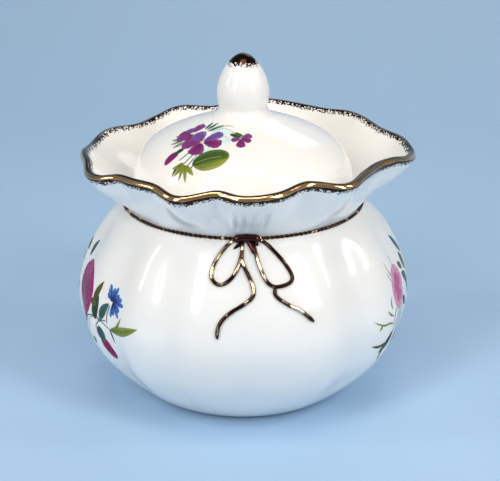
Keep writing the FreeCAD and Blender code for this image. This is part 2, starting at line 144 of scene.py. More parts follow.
@dataclass
class PouchForm:
    """The shape of the bowl: its section, and the waves that run round it. Sizes in millimetres."""

    foot_radius: float = 31.0
    foot_ring: float = 3.0
    foot_recess: float = 1.6
    belly_radius: float = 55.0
    belly_height: float = 31.5
    neck_radius: float = 38.8
    neck_height: float = 64.2
    rim_radius: float = 53.0
    rim_height: float = 79.8
    wall: float = 3.0
    floor: float = 4.2
    floor_radius: float = 20.0
    gallery_height: float = 66.6
    gallery_radius: float = 37.2
    mouth_radius: float = 33.4
    mouth_depth: float = 4.0
    step: float = 3.0
    fine_step: float = 0.8
    lip_steps: int = 11
    # The underside: its flat's rings, the rounding of the foot's edges, where the outside starts, and
    # the sole as (out of the ring's inner edge, height).
    under_rings: tuple = (0.0, 6.0, 14.0, 22.0)
    foot_corner: float = 0.7
    foot_round: float = 0.5
    foot_lift: float = 0.15
    sole: tuple = ((0.1, 0.4), (0.5, 0.0), (1.5, 0.0))
    # Where the waves start and are full: heights, or distances from the neck or the rim.
    gather_start: Pair = (1.0, 15.0)
    gather_fade: Pair = (9.0, 0.5)
    gather_loss: float = 0.85
    fold_start: float = 1.0
    fold_full: float = 2.0
    fold_fade: float = 3.0
    pleat_start: Pair = (3.0, 4.8)
    pleat_end: Pair = (7.0, 12.5)
    nick_start: float = 8.0
    nick_full: float = 0.5
    # The gallery: how far (out, up) of its edge the collar's own line ends and its bend lies, the rings
    # on its flat, and the rounded edge of the mouth as (out, down).
    gallery_clear: Pair = (0.6, 2.0)
    gallery_bend: Pair = (0.4, 0.9)
    gallery_rings: tuple = (0.3, 1.8)
    mouth_edge: tuple = ((0.5, 0.0), (0.1, 0.1), (0.0, 0.5))
    # The inside: the turn under the mouth, how far above the floor and below the mouth the wall's own
    # line runs, the bend at its foot as (out, up), and how the gathers fade at its ends.
    mouth_turn: float = 1.6
    wall_ends: Pair = (5.0, 4.0)
    wall_bend: Pair = (-5.0, 1.6)
    floor_bend: Pair = (6.0, 0.1)
    floor_fade: float = 12.0
    mouth_fade: float = 6.0
    rings: int = 4
    # The lip's folds: angle, how far out of the mean circle, how far above the mean height.
    folds: tuple = (
        (-168, 0.2, 0.4), (-155, 2.0, 1.2), (-144, 0.0, -0.6), (-133, -1.2, -1.8), (-121, 1.6, -1.4),
        (-103, 0.0, -2.2), (-89, -0.2, -0.9), (-76, -0.9, -0.8), (-65, 0.7, -1.8), (-57, 0.2, -1.2),
        (-50, -2.1, 0.3), (-41, -2.0, 0.6), (-31, -1.2, 0.7), (-21, 1.7, -0.8), (-9, -2.4, 0.5),
        (0, -0.2, -0.3), (11, -1.2, 0.1), (24, -4.8, 1.5), (37, -0.8, 0.1), (50, -3.6, 0.9),
        (62, -4.6, 1.1), (71, -2.0, 1.0), (80, 1.2, -0.6), (90, 3.3, -1.8), (98, 3.6, -1.6),
        (106, 3.4, -0.9), (117, 1.2, -0.4), (128, 1.6, 1.1), (136, 2.3, 1.7), (146, 0.8, 1.4),
        (157, 0.8, 2.0), (169, 1.4, 2.8), (181, 0.8, 2.2))
    # The pouch's gathers: angle, depth (a negative one is a lobe), half width.
    gathers: tuple = (
        (-138, 1.4, 15), (-104, 1.6, 13), (-90, -0.4, 9), (-77, 1.0, 11), (-51, 2.0, 13),
        (-27, 1.3, 11), (1, 1.7, 14), (44, 2.3, 16), (74, 0.9, 12), (96, -1.0, 14), (120, 1.7, 14),
        (152, 1.5, 15), (187, 1.7, 15))
    # Small pleats in the front of the collar, above the bow: angle, depth, half width.
    pleats: tuple = (
        (-3.8, -0.7, 1.1), (-2.5, 1.4, 1.1), (-0.9, -0.7, 1.0), (0.6, 1.4, 1.1), (2.0, -0.4, 1.2),
        (3.6, 0.5, 1.5), (8.3, 0.5, 1.6), (-12.5, 0.4, 2.4))
    # Small pinches in the outside of the lip: angle, depth, half width.
    nicks: tuple = ((-49.0, 1.0, 3.2), (-65.0, 0.4, 3.0), (37.5, 0.8, 3.2), (-9.0, 0.35, 3.5))

    def pouch(self) -> list[Pair]:
        """Give the outside of the pouch from the foot to the neck's crease.

        Returns:
            (radius, height) points.
        """
        lower = ((0.0, 0.0), (0.09, 0.02), (0.25, 0.105), (0.44, 0.225), (0.62, 0.365), (0.81, 0.55),
                 (0.94, 0.765), (1.0, 1.0))
        upper = ((0.95, 0.22), (0.79, 0.47), (0.575, 0.675), (0.37, 0.825), (0.175, 0.935),
                 (0.045, 0.985))
        gain, rise = self.belly_radius - self.foot_radius, self.neck_height - self.belly_height
        return ([(self.foot_radius + gain * r, self.belly_height * h) for r, h in lower]
                + [(self.neck_radius + (self.belly_radius - self.neck_radius) * r,
                    self.belly_height + rise * h) for r, h in upper])

    def collar(self) -> list[Pair]:
        """Give the outside of the collar from the neck's crease to the lip.

        Returns:
            (radius, height) points.
        """
        shares = ((0.0, 0.0), (0.03, 0.06), (0.13, 0.17), (0.30, 0.32), (0.53, 0.50), (0.78, 0.73),
                  (1.0, 1.0))
        out, up = self.rim_radius - self.neck_radius, self.rim_height - self.neck_height
        return [(self.neck_radius + out * r, self.neck_height + up * h) for r, h in shares]

    def gather_share(self, height: float) -> float:
        """Tell how much of a gather shows at a height: none at the foot, little at the neck.

        Args:
            height: millimetres above the floor.

        Returns:
            The share, from 0 to 1.
        """
        start, end = self.gather_fade
        neck = ease(height, self.neck_height - start, self.neck_height - end)
        return ease(height, *self.gather_start) * (1 - self.gather_loss * neck)

    def fold_share(self, height: float) -> float:
        """Tell how much of a fold shows at a height: none at the neck, all of it at the lip."""
        return ease(height, self.neck_height + self.fold_start, self.rim_height - self.fold_full)

    def pleat_share(self, height: float) -> float:
        """Tell how much of a pleat shows at a height: most of it half-way up the collar.

        Args:
            height: millimetres above the floor.

        Returns:
            The share, from 0 to 1.
        """
        above = height - self.neck_height
        return ease(above, *self.pleat_start) * (1 - ease(above, *self.pleat_end))

    def nick_share(self, height: float) -> float:
        """Tell how much of a nick shows at a height: all of it at the lip."""
        return ease(height, self.neck_height + self.nick_start, self.rim_height - self.nick_full)

    def stations(self) -> list[Station]:
        """Give the whole section, from the middle of the underside round to the middle of the floor.

        Returns:
            Stations in order, the first and last of them on the axis.
        """
        ring, recess = self.foot_radius - self.foot_ring, self.foot_recess
        under = [Station(r, recess) for r in (*self.under_rings, ring - self.foot_corner)]
        under.append(Station(ring, recess - self.foot_round))
        under += [Station(ring + out, height) for out, height in self.sole]
        under.append(Station(self.foot_radius - self.foot_round, 0.0))
        pouch, collar = smooth(self.pouch(), self.step), smooth(self.collar(), self.step)
        flare = smooth(self.collar(), self.step / 2)
        crease = smooth([pouch[-2], pouch[-1], flare[0], flare[1]], self.fine_step)
        start = (self.foot_radius, self.foot_lift)
        outside = [Station(r, z, self.gather_share(z), self.fold_share(z), self.pleat_share(z),
                           self.nick_share(z)) for r, z in [start] + pouch[1:-2] + crease + flare[2:]]
        return under + self.with_lip_distance(outside, self.lip_and_inside(collar)) + self.inside()

    def lip_and_inside(self, collar: Sequence[Pair]) -> list[Station]:
        """Give the section round the lip and down the collar's inside to the gallery.

        Args:
            collar: the collar's outside, evenly spaced.

        Returns:
            Stations from just past the lip's outer side to the gallery's inner edge.
        """
        back = inward(collar, self.wall)
        middle = ((collar[-1][0] + back[-1][0]) / 2, (collar[-1][1] + back[-1][1]) / 2)
        turn = math.atan2(collar[-1][1] - middle[1], collar[-1][0] - middle[0])
        lip = [(middle[0] + self.wall / 2 * math.cos(turn + math.pi * k / self.lip_steps),
                middle[1] + self.wall / 2 * math.sin(turn + math.pi * k / self.lip_steps))
               for k in range(1, self.lip_steps)]
        shelf, gallery = self.gallery_radius, self.gallery_height
        (out, up), (bend_out, bend_up) = self.gallery_clear, self.gallery_bend
        inner = [p for p in reversed(back) if p[1] > gallery + up and p[0] > shelf + out]
        bend = [(shelf + bend_out, gallery + bend_up), (shelf, gallery)]
        down = smooth(inner[-2:] + bend, self.fine_step)
        line = [Station(r, z, 0.0, self.fold_share(z)) for r, z in lip + inner[:-2]]
        line += [Station(r, z, 0.0, self.fold_share(z) * ease(z, gallery, gallery + self.fold_fade))
                 for r, z in down]
        line += [Station(shelf - into, gallery) for into in self.gallery_rings]
        return line + [Station(self.mouth_radius + r, gallery - drop) for r, drop in self.mouth_edge]

    @staticmethod
    def with_lip_distance(outside: list[Station], rest: list[Station]) -> list[Station]:
        """Measure how far each station lies along the section from the top of the lip.

        Args:
            outside: the stations up to the lip.
            rest: the stations from the lip inwards.

        Returns:
            All of them with past_lip filled in: negative outside, positive inside.
        """
        line = outside + rest
        top = max(range(len(line)), key=lambda i: line[i].height)
        reached = [0.0]
        for p, q in zip(line, line[1:]):
            reached.append(reached[-1] + math.dist((p.radius, p.height), (q.radius, q.height)))
        return [replace(s, past_lip=reached[i] - reached[top]) for i, s in enumerate(line)]

    def inside(self) -> list[Station]:
        """Give the section of the inside, from the mouth's wall to the middle of the floor.

        Returns:
            Stations in order, the last of them on the axis.
        """
        below = self.gallery_height - self.mouth_depth
        foot, top = self.wall_ends
        inner = inward(smooth(self.pouch(), self.step), self.wall)
        low = [p for p in inner if self.floor + foot < p[1] < below - top]
        mouth = [(self.mouth_radius, self.gallery_height - self.mouth_depth * k / self.rings)
                 for k in range(1, self.rings + 1)]
        corner = (self.mouth_radius + self.mouth_turn, below - self.mouth_turn)
        turn = smooth([mouth[-1], corner, low[-1]], self.mouth_turn)[1:-1]
        bend = smooth([low[0], (low[0][0] + self.wall_bend[0], self.floor + self.wall_bend[1]),
                       (self.floor_radius + self.floor_bend[0], self.floor + self.floor_bend[1]),
                       (self.floor_radius, self.floor)], self.step)[1:]
        middle = [(self.floor_radius * k / self.rings, self.floor) for k in reversed(range(self.rings))]
        return [Station(r, z, self.gather_share(z) * ease(z, self.floor, self.floor + self.floor_fade)
                        * ease(below - z, 0.0, self.mouth_fade))
                for r, z in mouth + turn + low[::-1] + bend + middle]

    def fold(self, angle: float) -> Pair:
        """Tell how far out and up the lip lies at an angle, on a smooth closed line.

        Args:
            angle: degrees from the front.

        Returns:
            How far outside the mean circle, and how far above the mean height.
        """
        marks = self.folds[-2:] + self.folds + self.folds[:2]
        turns = [m[0] + 360 * lap for m, lap in zip(marks, [-1] * 2 + [0] * len(self.folds) + [1] * 2)]
        angle = (angle - self.folds[0][0]) % 360 + self.folds[0][0]
        i = bisect.bisect_right(turns, angle) - 1
        span = turns[i + 1] - turns[i]
        t = (angle - turns[i]) / span
        found = []
        for axis in (1, 2):
            a, b, c, d = (marks[k][axis] for k in (i - 1, i, i + 1, i + 2))
            slope_b = (c - a) / (turns[i + 1] - turns[i - 1]) * span
            slope_c = (d - b) / (turns[i + 2] - turns[i]) * span
            found.append(b * (2 * t ** 3 - 3 * t * t + 1) + slope_b * (t ** 3 - 2 * t * t + t)
                         + c * (3 * t * t - 2 * t ** 3) + slope_c * (t ** 3 - t * t))
        return found[0], found[1]

    @staticmethod
    def dents(angle: float, table: Sequence[tuple]) -> float:
        """Add up the depths of a table of dents (angle, depth, half width) at an angle.

        Args:
            angle: degrees from the front.
            table: the dents.

        Returns:
            The depth in millimetres, negative where a dent stands out.
        """
        depth = 0.0
        for valley, deep, half in table:
            off = abs((angle - valley + 180) % 360 - 180)
            if off < half:
                depth += deep * math.cos(math.pi / 2 * off / half) ** 2
        return depth


# ---- Meshes ---------------------------------------------------------------------------------------
def finish_mesh(bm: bmesh.types.BMesh, name: str, levels: int = 0) -> bpy.types.Object:
    """Turn a bmesh into a smooth-shaded object at the origin.

    Args:
        bm: the mesh, in metres; it is freed.
        name: the new object's name.
        levels: levels of Subdivision Surface, or 0 for none.

    Returns:
        The new object, linked to the scene.
    """
    mesh = bpy.data.meshes.new(name)
    bm.to_mesh(mesh)
    bm.free()
    mesh.shade_smooth()
    piece = bpy.data.objects.new(name, mesh)
    bpy.context.scene.collection.objects.link(piece)
    if levels:
        smoothing = piece.modifiers.new("Smoothing", "SUBSURF")
        smoothing.levels = smoothing.render_levels = levels
    return piece


def lathe(section: Sequence[Pair], columns: int, marks: Sequence[dict[str, float]] | None = None
          ) -> bmesh.types.BMesh:
    """Turn a section round Z.

    Args:
        section: (radius, height) points in millimetres.
        columns: how many steps a full turn takes.
        marks: for each point, named values that its ring of vertices keeps in float layers.

    Returns:
        The closed mesh, in millimetres, with its normals outwards.
    """
    bm = bmesh.new()
    names = sorted(marks[0]) if marks else []
    for name in names:
        bm.verts.layers.float.new(name)
    rail = []
    for i, (r, z) in enumerate(section):
        vert = bm.verts.new((0.0, -r, z))
        for name in names:
            vert[bm.verts.layers.float[name]] = marks[i][name]
        rail.append(vert)
    edges = [bm.edges.new(pair) for pair in zip(rail, rail[1:])]
    bmesh.ops.spin(bm, geom=rail + edges, cent=(0, 0, 0), axis=(0, 0, 1), angle=math.tau,
                   steps=columns, use_merge=True)
    bmesh.ops.remove_doubles(bm, verts=bm.verts[:], dist=1e-5)
    bmesh.ops.recalc_face_normals(bm, faces=bm.faces[:])
    return bm


class Skin:
    """The finished outside of a piece, to lay other pieces on."""

    def __init__(self, piece: bpy.types.Object) -> None:
        """Read the piece with its modifiers on."""
        bpy.context.view_layer.update()
        self.tree = BVHTree.FromObject(piece, bpy.context.evaluated_depsgraph_get())

    def beside(self, angle: float, height: float, lift: float = 0.0) -> Vector:
        """Find a point on the side of the piece.

        Args:
            angle: degrees round +Z from the front.
            height: millimetres above the floor.
            lift: millimetres to stand off the surface.

        Returns:
            The point, in metres.
        """
        turn = math.radians(angle)
        out = Vector((math.sin(turn), -math.cos(turn), 0.0))
        start = out * RAY_OUT + Vector((0, 0, height * MM))
        place, normal, _, _ = self.tree.ray_cast(start, -out)
        return place + normal * lift * MM

    def above(self, x: float, y: float, lift: float = 0.0) -> Vector:
        """Find a point on top of the piece at a place in plan, all in millimetres.

        Args:
            x: millimetres to the right.
            y: millimetres to the back.
            lift: millimetres to stand off the surface.

        Returns:
            The point, in metres.
        """
        start = Vector((x * MM, y * MM, RAY_UP))
        place, normal, _, _ = self.tree.ray_cast(start, Vector((0, 0, -1)))
        return place + normal * lift * MM


# ---- Shaders --------------------------------------------------------------------------------------
class Val:
    """A shader value. Python arithmetic on it adds Math nodes."""

    def __init__(self, tree: "Shader", socket: Any) -> None:
        """Wrap an output socket of a shader's node tree."""
        self.tree = tree
        self.socket = socket

    def __add__(self, other: Any) -> "Val":
        """Add."""
        return self.tree.maths("ADD", self, other)

    def __radd__(self, other: Any) -> "Val":
        """Add to a number."""
        return self.tree.maths("ADD", other, self)

    def __sub__(self, other: Any) -> "Val":
        """Subtract."""
        return self.tree.maths("SUBTRACT", self, other)

    def __rsub__(self, other: Any) -> "Val":
        """Subtract from a number."""
        return self.tree.maths("SUBTRACT", other, self)

    def __mul__(self, other: Any) -> "Val":
        """Multiply."""
        return self.tree.maths("MULTIPLY", self, other)

    def __rmul__(self, other: Any) -> "Val":
        """Multiply a number."""
        return self.tree.maths("MULTIPLY", other, self)

    def __truediv__(self, other: Any) -> "Val":
        """Divide."""
        return self.tree.maths("DIVIDE", self, other)

    def __rtruediv__(self, other: Any) -> "Val":
        """Divide a number."""
        return self.tree.maths("DIVIDE", other, self)

    def __neg__(self) -> "Val":
        """Turn the sign round."""
        return self.tree.maths("MULTIPLY", self, -1.0)

    def wave(self) -> "Val":
        """Take the sine."""
        return self.tree.maths("SINE", self)

    def most(self, other: Any) -> "Val":
        """Take the larger of two."""
        return self.tree.maths("MAXIMUM", self, other)

    def rise(self, low: float, high: float) -> "Val":
        """Blend smoothly from 0 at low to 1 at high.

        Args:
            low: the value that gives 0.
            high: the value that gives 1.

        Returns:
            The blend.
        """
        made = self.tree.node("ShaderNodeMapRange", {"interpolation_type": "SMOOTHSTEP"},
                              {"Value": self, "From Min": low, "From Max": high})
        return Val(self.tree, made.outputs["Result"])


class Shader:
    """A material's node tree, with a Principled shader at its end."""

    def __init__(self, name: str) -> None:
        """Start a material with nothing but its Principled shader.

        Args:
            name: the material's name.
        """
        self.material = bpy.data.materials.new(name)
        self.material.use_nodes = True
        self.nodes = self.material.node_tree.nodes
        self.links = self.material.node_tree.links
        self.surface = self.nodes["Principled BSDF"]

    def node(self, kind: str, settings: dict[str, Any] | None = None,
             inputs: dict[str | int, Any] | None = None) -> bpy.types.Node:
        """Add a node.

        Args:
            kind: the node's type name.
            settings: properties to set before its sockets.
            inputs: values, colours or links for its sockets, by name or number.

        Returns:
            The new node.
        """
        made = self.nodes.new(kind)
        for key, value in (settings or {}).items():
            setattr(made, key, value)
        for key, value in (inputs or {}).items():
            self.feed(made.inputs[key], value)
        return made

    def feed(self, socket: Any, value: Any) -> None:
        """Link a value to a socket, or set a plain number or colour on it.

        Args:
            socket: the input socket.
            value: a value, number or colour.
        """
        if isinstance(value, Val):
            self.links.new(value.socket, socket)
        elif isinstance(value, tuple) and len(value) == 3 and socket.type == "RGBA":
            socket.default_value = (*value, 1.0)
        else:
            socket.default_value = value

    def maths(self, operation: str, *values: Any) -> Val:
        """Add a Math node."""
        made = self.node("ShaderNodeMath", {"operation": operation}, dict(enumerate(values)))
        return Val(self, made.outputs[0])

    def mix(self, share: Any, start: Any, end: Any) -> Val:
        """Blend two colours."""
        made = self.node("ShaderNodeMix", {"data_type": "RGBA"}, {0: share, 6: start, 7: end})
        return Val(self, made.outputs[2])

    def attribute(self, name: str) -> Val:
        """Read a float attribute of the mesh."""
        return Val(self, self.node("ShaderNodeAttribute", {"attribute_name": name}).outputs["Fac"])

    def tint(self, name: str) -> Val:
        """Read a colour attribute of the mesh."""
        return Val(self, self.node("ShaderNodeAttribute", {"attribute_name": name}).outputs["Color"])

    def place(self) -> Val:
        """Read the point's place in the object's frame, in metres."""
        return Val(self, self.node("ShaderNodeTexCoord").outputs["Object"])

    def axis(self, letter: str) -> Val:
        """Read one coordinate of the point's place, in metres."""
        made = self.node("ShaderNodeSeparateXYZ", None, {0: self.place()})
        return Val(self, made.outputs[letter])

    def noise(self, size: float, detail: float = 2.0, rough: float = 0.5) -> Val:
        """Add noise with features about size millimetres across, from 0 to 1.

        Args:
            size: millimetres across a feature.
            detail: how many finer octaves.
            rough: how strong the finer ones are.

        Returns:
            The noise.
        """
        made = self.node("ShaderNodeTexNoise", None, {"Vector": self.place(), "Scale": 1 / (size * MM),
                                                      "Detail": detail, "Roughness": rough})
        return Val(self, made.outputs["Fac"])

    def grains(self, size: float) -> Val:
        """Add cells about size millimetres across, each with its own value from 0 to 1.

        Args:
            size: millimetres across a cell.

        Returns:
            The cells' values.
        """
        made = self.node("ShaderNodeTexVoronoi", {"feature": "F1"},
                         {"Vector": self.place(), "Scale": 1 / (size * MM)})
        split = self.node("ShaderNodeSeparateColor", None, {0: Val(self, made.outputs["Color"])})
        return Val(self, split.outputs[0])

    def bump(self, height: Val, depth: float) -> Val:
        """Turn a height from 0 to 1 into a normal, with depth in millimetres.

        Args:
            height: the height, from 0 to 1.
            depth: millimetres from 0 to 1.

        Returns:
            The normal.
        """
        made = self.node("ShaderNodeBump", None,
                         {"Strength": 1.0, "Distance": depth * MM, "Height": height})
        return Val(self, made.outputs["Normal"])

    def dress(self, **values: Any) -> bpy.types.Material:
        """Feed the Principled shader's sockets, with underscores for spaces, and give the material."""
        for key, value in values.items():
            self.feed(self.surface.inputs[key.replace("_", " ")], value)
        return self.material


class Gilded(Enum):
    """Which edge of a china piece carries gold."""

    NONE = "none"
    LIP = "lip"
    TIP = "tip"


@dataclass(frozen=True)
class GoldFilm:
    """Burnished bright gold, brushed or sponged on by hand: pale gold as a painted highlight, near-black
    brown as a painted dark reflection.
    """

    # light is the painted highlight's colour and dark is the painted dark reflection's colour; wear sets
    # random worn patches between them.
    light: Colour = (0.95, 0.60, 0.31)
    dark: Colour = (0.050, 0.024, 0.016)
    wear: float = 1.0
    patch: float = 3.2
    patch_edge: Pair = (0.25, 0.65)
    # back: the lift off the wall, as a share of a roll's height, where the painted highlight along its
    # crest starts and where it is full.
    back: Pair = (0.70, 1.30)

    def colour(self, shader: Shader, painted_highlight: Any) -> Val:
        """Give the gold's colour, from a painted dark reflection to a painted highlight.

        Args:
            shader: the shader to add nodes to.
            painted_highlight: how much painted highlight the gold gets, from 0 to 1; the rest is painted
                dark reflection.

        Returns:
            The colour, patchier the more worn the film is.
        """
        patches = painted_highlight + (shader.noise(self.patch, 2.0) - 0.5) * self.wear
        return shader.mix(patches.rise(*self.patch_edge), self.dark, self.light)

    def roughness(self, shader: Shader) -> Val:
        """Give the gold's roughness, with faint brush marks."""
        return 0.06 + shader.noise(1.1, 2.0) * 0.10

    def material(self, name: str) -> bpy.types.Material:
        """Make the material of a roll that is gilded all over, with a painted highlight along its crest
        and painted dark reflection on its sides.

        Args:
            name: the material's name.

        Returns:
            The material.
        """
        shader = Shader(name)
        # Painted highlight: lighter the farther the surface stands off the wall.
        painted_highlight = shader.attribute("lift").rise(*self.back)
        return shader.dress(Base_Color=self.colour(shader, painted_highlight), Metallic=1.0,
                            Roughness=self.roughness(shader),
                            Normal=shader.bump(shader.noise(1.4, 1.0), 0.02))


@dataclass(frozen=True)
class GlazedChina:
    """White bone china under a clear glossy glaze, with or without a gilded edge."""

    gilded: Gilded = Gilded.NONE
    body: Colour = (0.93, 0.915, 0.885)
    thin: Colour = (0.955, 0.95, 0.935)
    gold: GoldFilm = field(default_factory=GoldFilm)
    band_outside: float = 3.1
    band_inside: float = 0.7
    fringe: float = 2.3
    tip_height: float = 110.6
    # The knob's gold gets little painted highlight, so it shows mostly painted dark reflection.
    tip_highlight: float = 0.1
    # Where the lip's painted highlight band lies, past the lip's top: it starts, is full, begins to fade
    # and is gone.
    bright: tuple = (-2.6, -2.1, -1.15, -0.85)
    sponge: float = 5.0
    ragged: float = 1.6
    edge: Pair = (-0.2, 0.1)
    dot: float = 0.40
    dot_edge: Pair = (0.12, 0.2)
    # The finish of the glaze: how rough, and how deep its waves are in millimetres.
    rough: float = 0.085
    wave_depth: float = 0.16

    def gilding(self, shader: Shader) -> tuple[Val, Any]:
        """Tell where gold lies, with a sponged fringe, and how much painted highlight it gets.

        Args:
            shader: the shader to add nodes to.

        Returns:
            A mask, 1 on gold and 0 on bare glaze, and the gold's painted highlight from 0 to 1.
        """
        painted_highlight: Any = self.tip_highlight
        if self.gilded is Gilded.LIP:
            past = shader.attribute("past_lip")
            depth = (past - self.band_inside).most(-past - self.band_outside)
            # A painted highlight band on the outer side just below the lip's top; the rest of the lip's
            # gold shows painted dark reflection.
            starts, full, fades, gone = self.bright
            painted_highlight = past.rise(starts, full) * (1 - past.rise(fades, gone))
        else:
            depth = (self.tip_height * MM - shader.axis("Z")) / MM
        depth = depth + (shader.noise(self.sponge, 2.0) - 0.5) * self.ragged
        solid = 1 - depth.rise(*self.edge)
        dots = (shader.grains(self.dot) - depth.rise(-0.3, self.fringe)).rise(*self.dot_edge)
        return solid.most(dots), painted_highlight

    def material(self, name: str) -> bpy.types.Material:
        """Make the material: clouds in the body's colour, gentle waves in the glaze, and the gilding.

        Args:
            name: the material's name.

        Returns:
            The material.
        """
        shader = Shader(name)
        colour = shader.mix(shader.noise(30.0, 2.0).rise(0.3, 0.7), self.body, self.thin)
        rough = self.rough + shader.noise(14.0, 2.0) * 0.06
        metal: Any = 0.0
        relief = shader.noise(11.0, 1.0) * 0.9 + shader.noise(2.5, 1.0) * 0.06
        if self.gilded is not Gilded.NONE:
            metal, painted_highlight = self.gilding(shader)
            colour = shader.mix(metal, colour, self.gold.colour(shader, painted_highlight))
            rough = rough + (self.gold.roughness(shader) - rough) * metal
        return shader.dress(Base_Color=colour, Roughness=rough, Metallic=metal,
                            Normal=shader.bump(relief, self.wave_depth), Subsurface_Weight=0.12,
                            Subsurface_Radius=(1.0, 0.8, 0.6), Subsurface_Scale=2 * MM)


# ---- The bowl -------------------------------------------------------------------------------------
@dataclass
class Bowl:
    """The casting: pouch, neck, collar, gallery and foot."""

    form: PouchForm = field(default_factory=PouchForm)
    columns: int = 200
    crowding: float = 0.55

    def build(self) -> bpy.types.Object:
        """Turn the section, gather and fold it, and glaze it.

        Returns:
            The bowl's piece, riding on its body.
        """
        stations = self.form.stations()
        bm = lathe([(s.radius, s.height) for s in stations], self.columns,
                   [{"gathers": s.gathers, "folds": s.folds, "pleats": s.pleats,
                     "nicks": s.nicks, "past_lip": s.past_lip} for s in stations])
        self.shape(bm)
        bmesh.ops.scale(bm, vec=(MM, MM, MM), verts=bm.verts[:])
        piece = finish_mesh(bm, "china_bowl", levels=1)
        piece.data.materials.append(GlazedChina(Gilded.LIP).material("bowl_glaze"))
        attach(piece, "bowl")
        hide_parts("pouch", "collar")
        return piece

    def shape(self, bm: bmesh.types.BMesh) -> None:
        """Crowd the columns to the front, and move each by the gathers, folds and pleats there.

        Args:
            bm: the turned mesh, in millimetres, with its layers of shares.
        """
        layers = bm.verts.layers.float
        for vert in bm.verts:
            radius = math.hypot(vert.co.x, vert.co.y)
            if radius < AXIS:
                continue
            turn = math.atan2(vert.co.x, -vert.co.y)
            turn -= self.crowding * math.sin(turn)
            angle = math.degrees(turn)
            share = vert[layers["folds"]]
            out, up = self.form.fold(angle) if share else (0.0, 0.0)
            move = out * share - self.form.dents(angle, self.form.gathers) * vert[layers["gathers"]]
            move -= self.form.dents(angle, self.form.pleats) * vert[layers["pleats"]]
            move -= self.form.dents(angle, self.form.nicks) * vert[layers["nicks"]]
            vert.co.x = (radius + move) * math.sin(turn)
            vert.co.y = -(radius + move) * math.cos(turn)
            vert.co.z += up * share


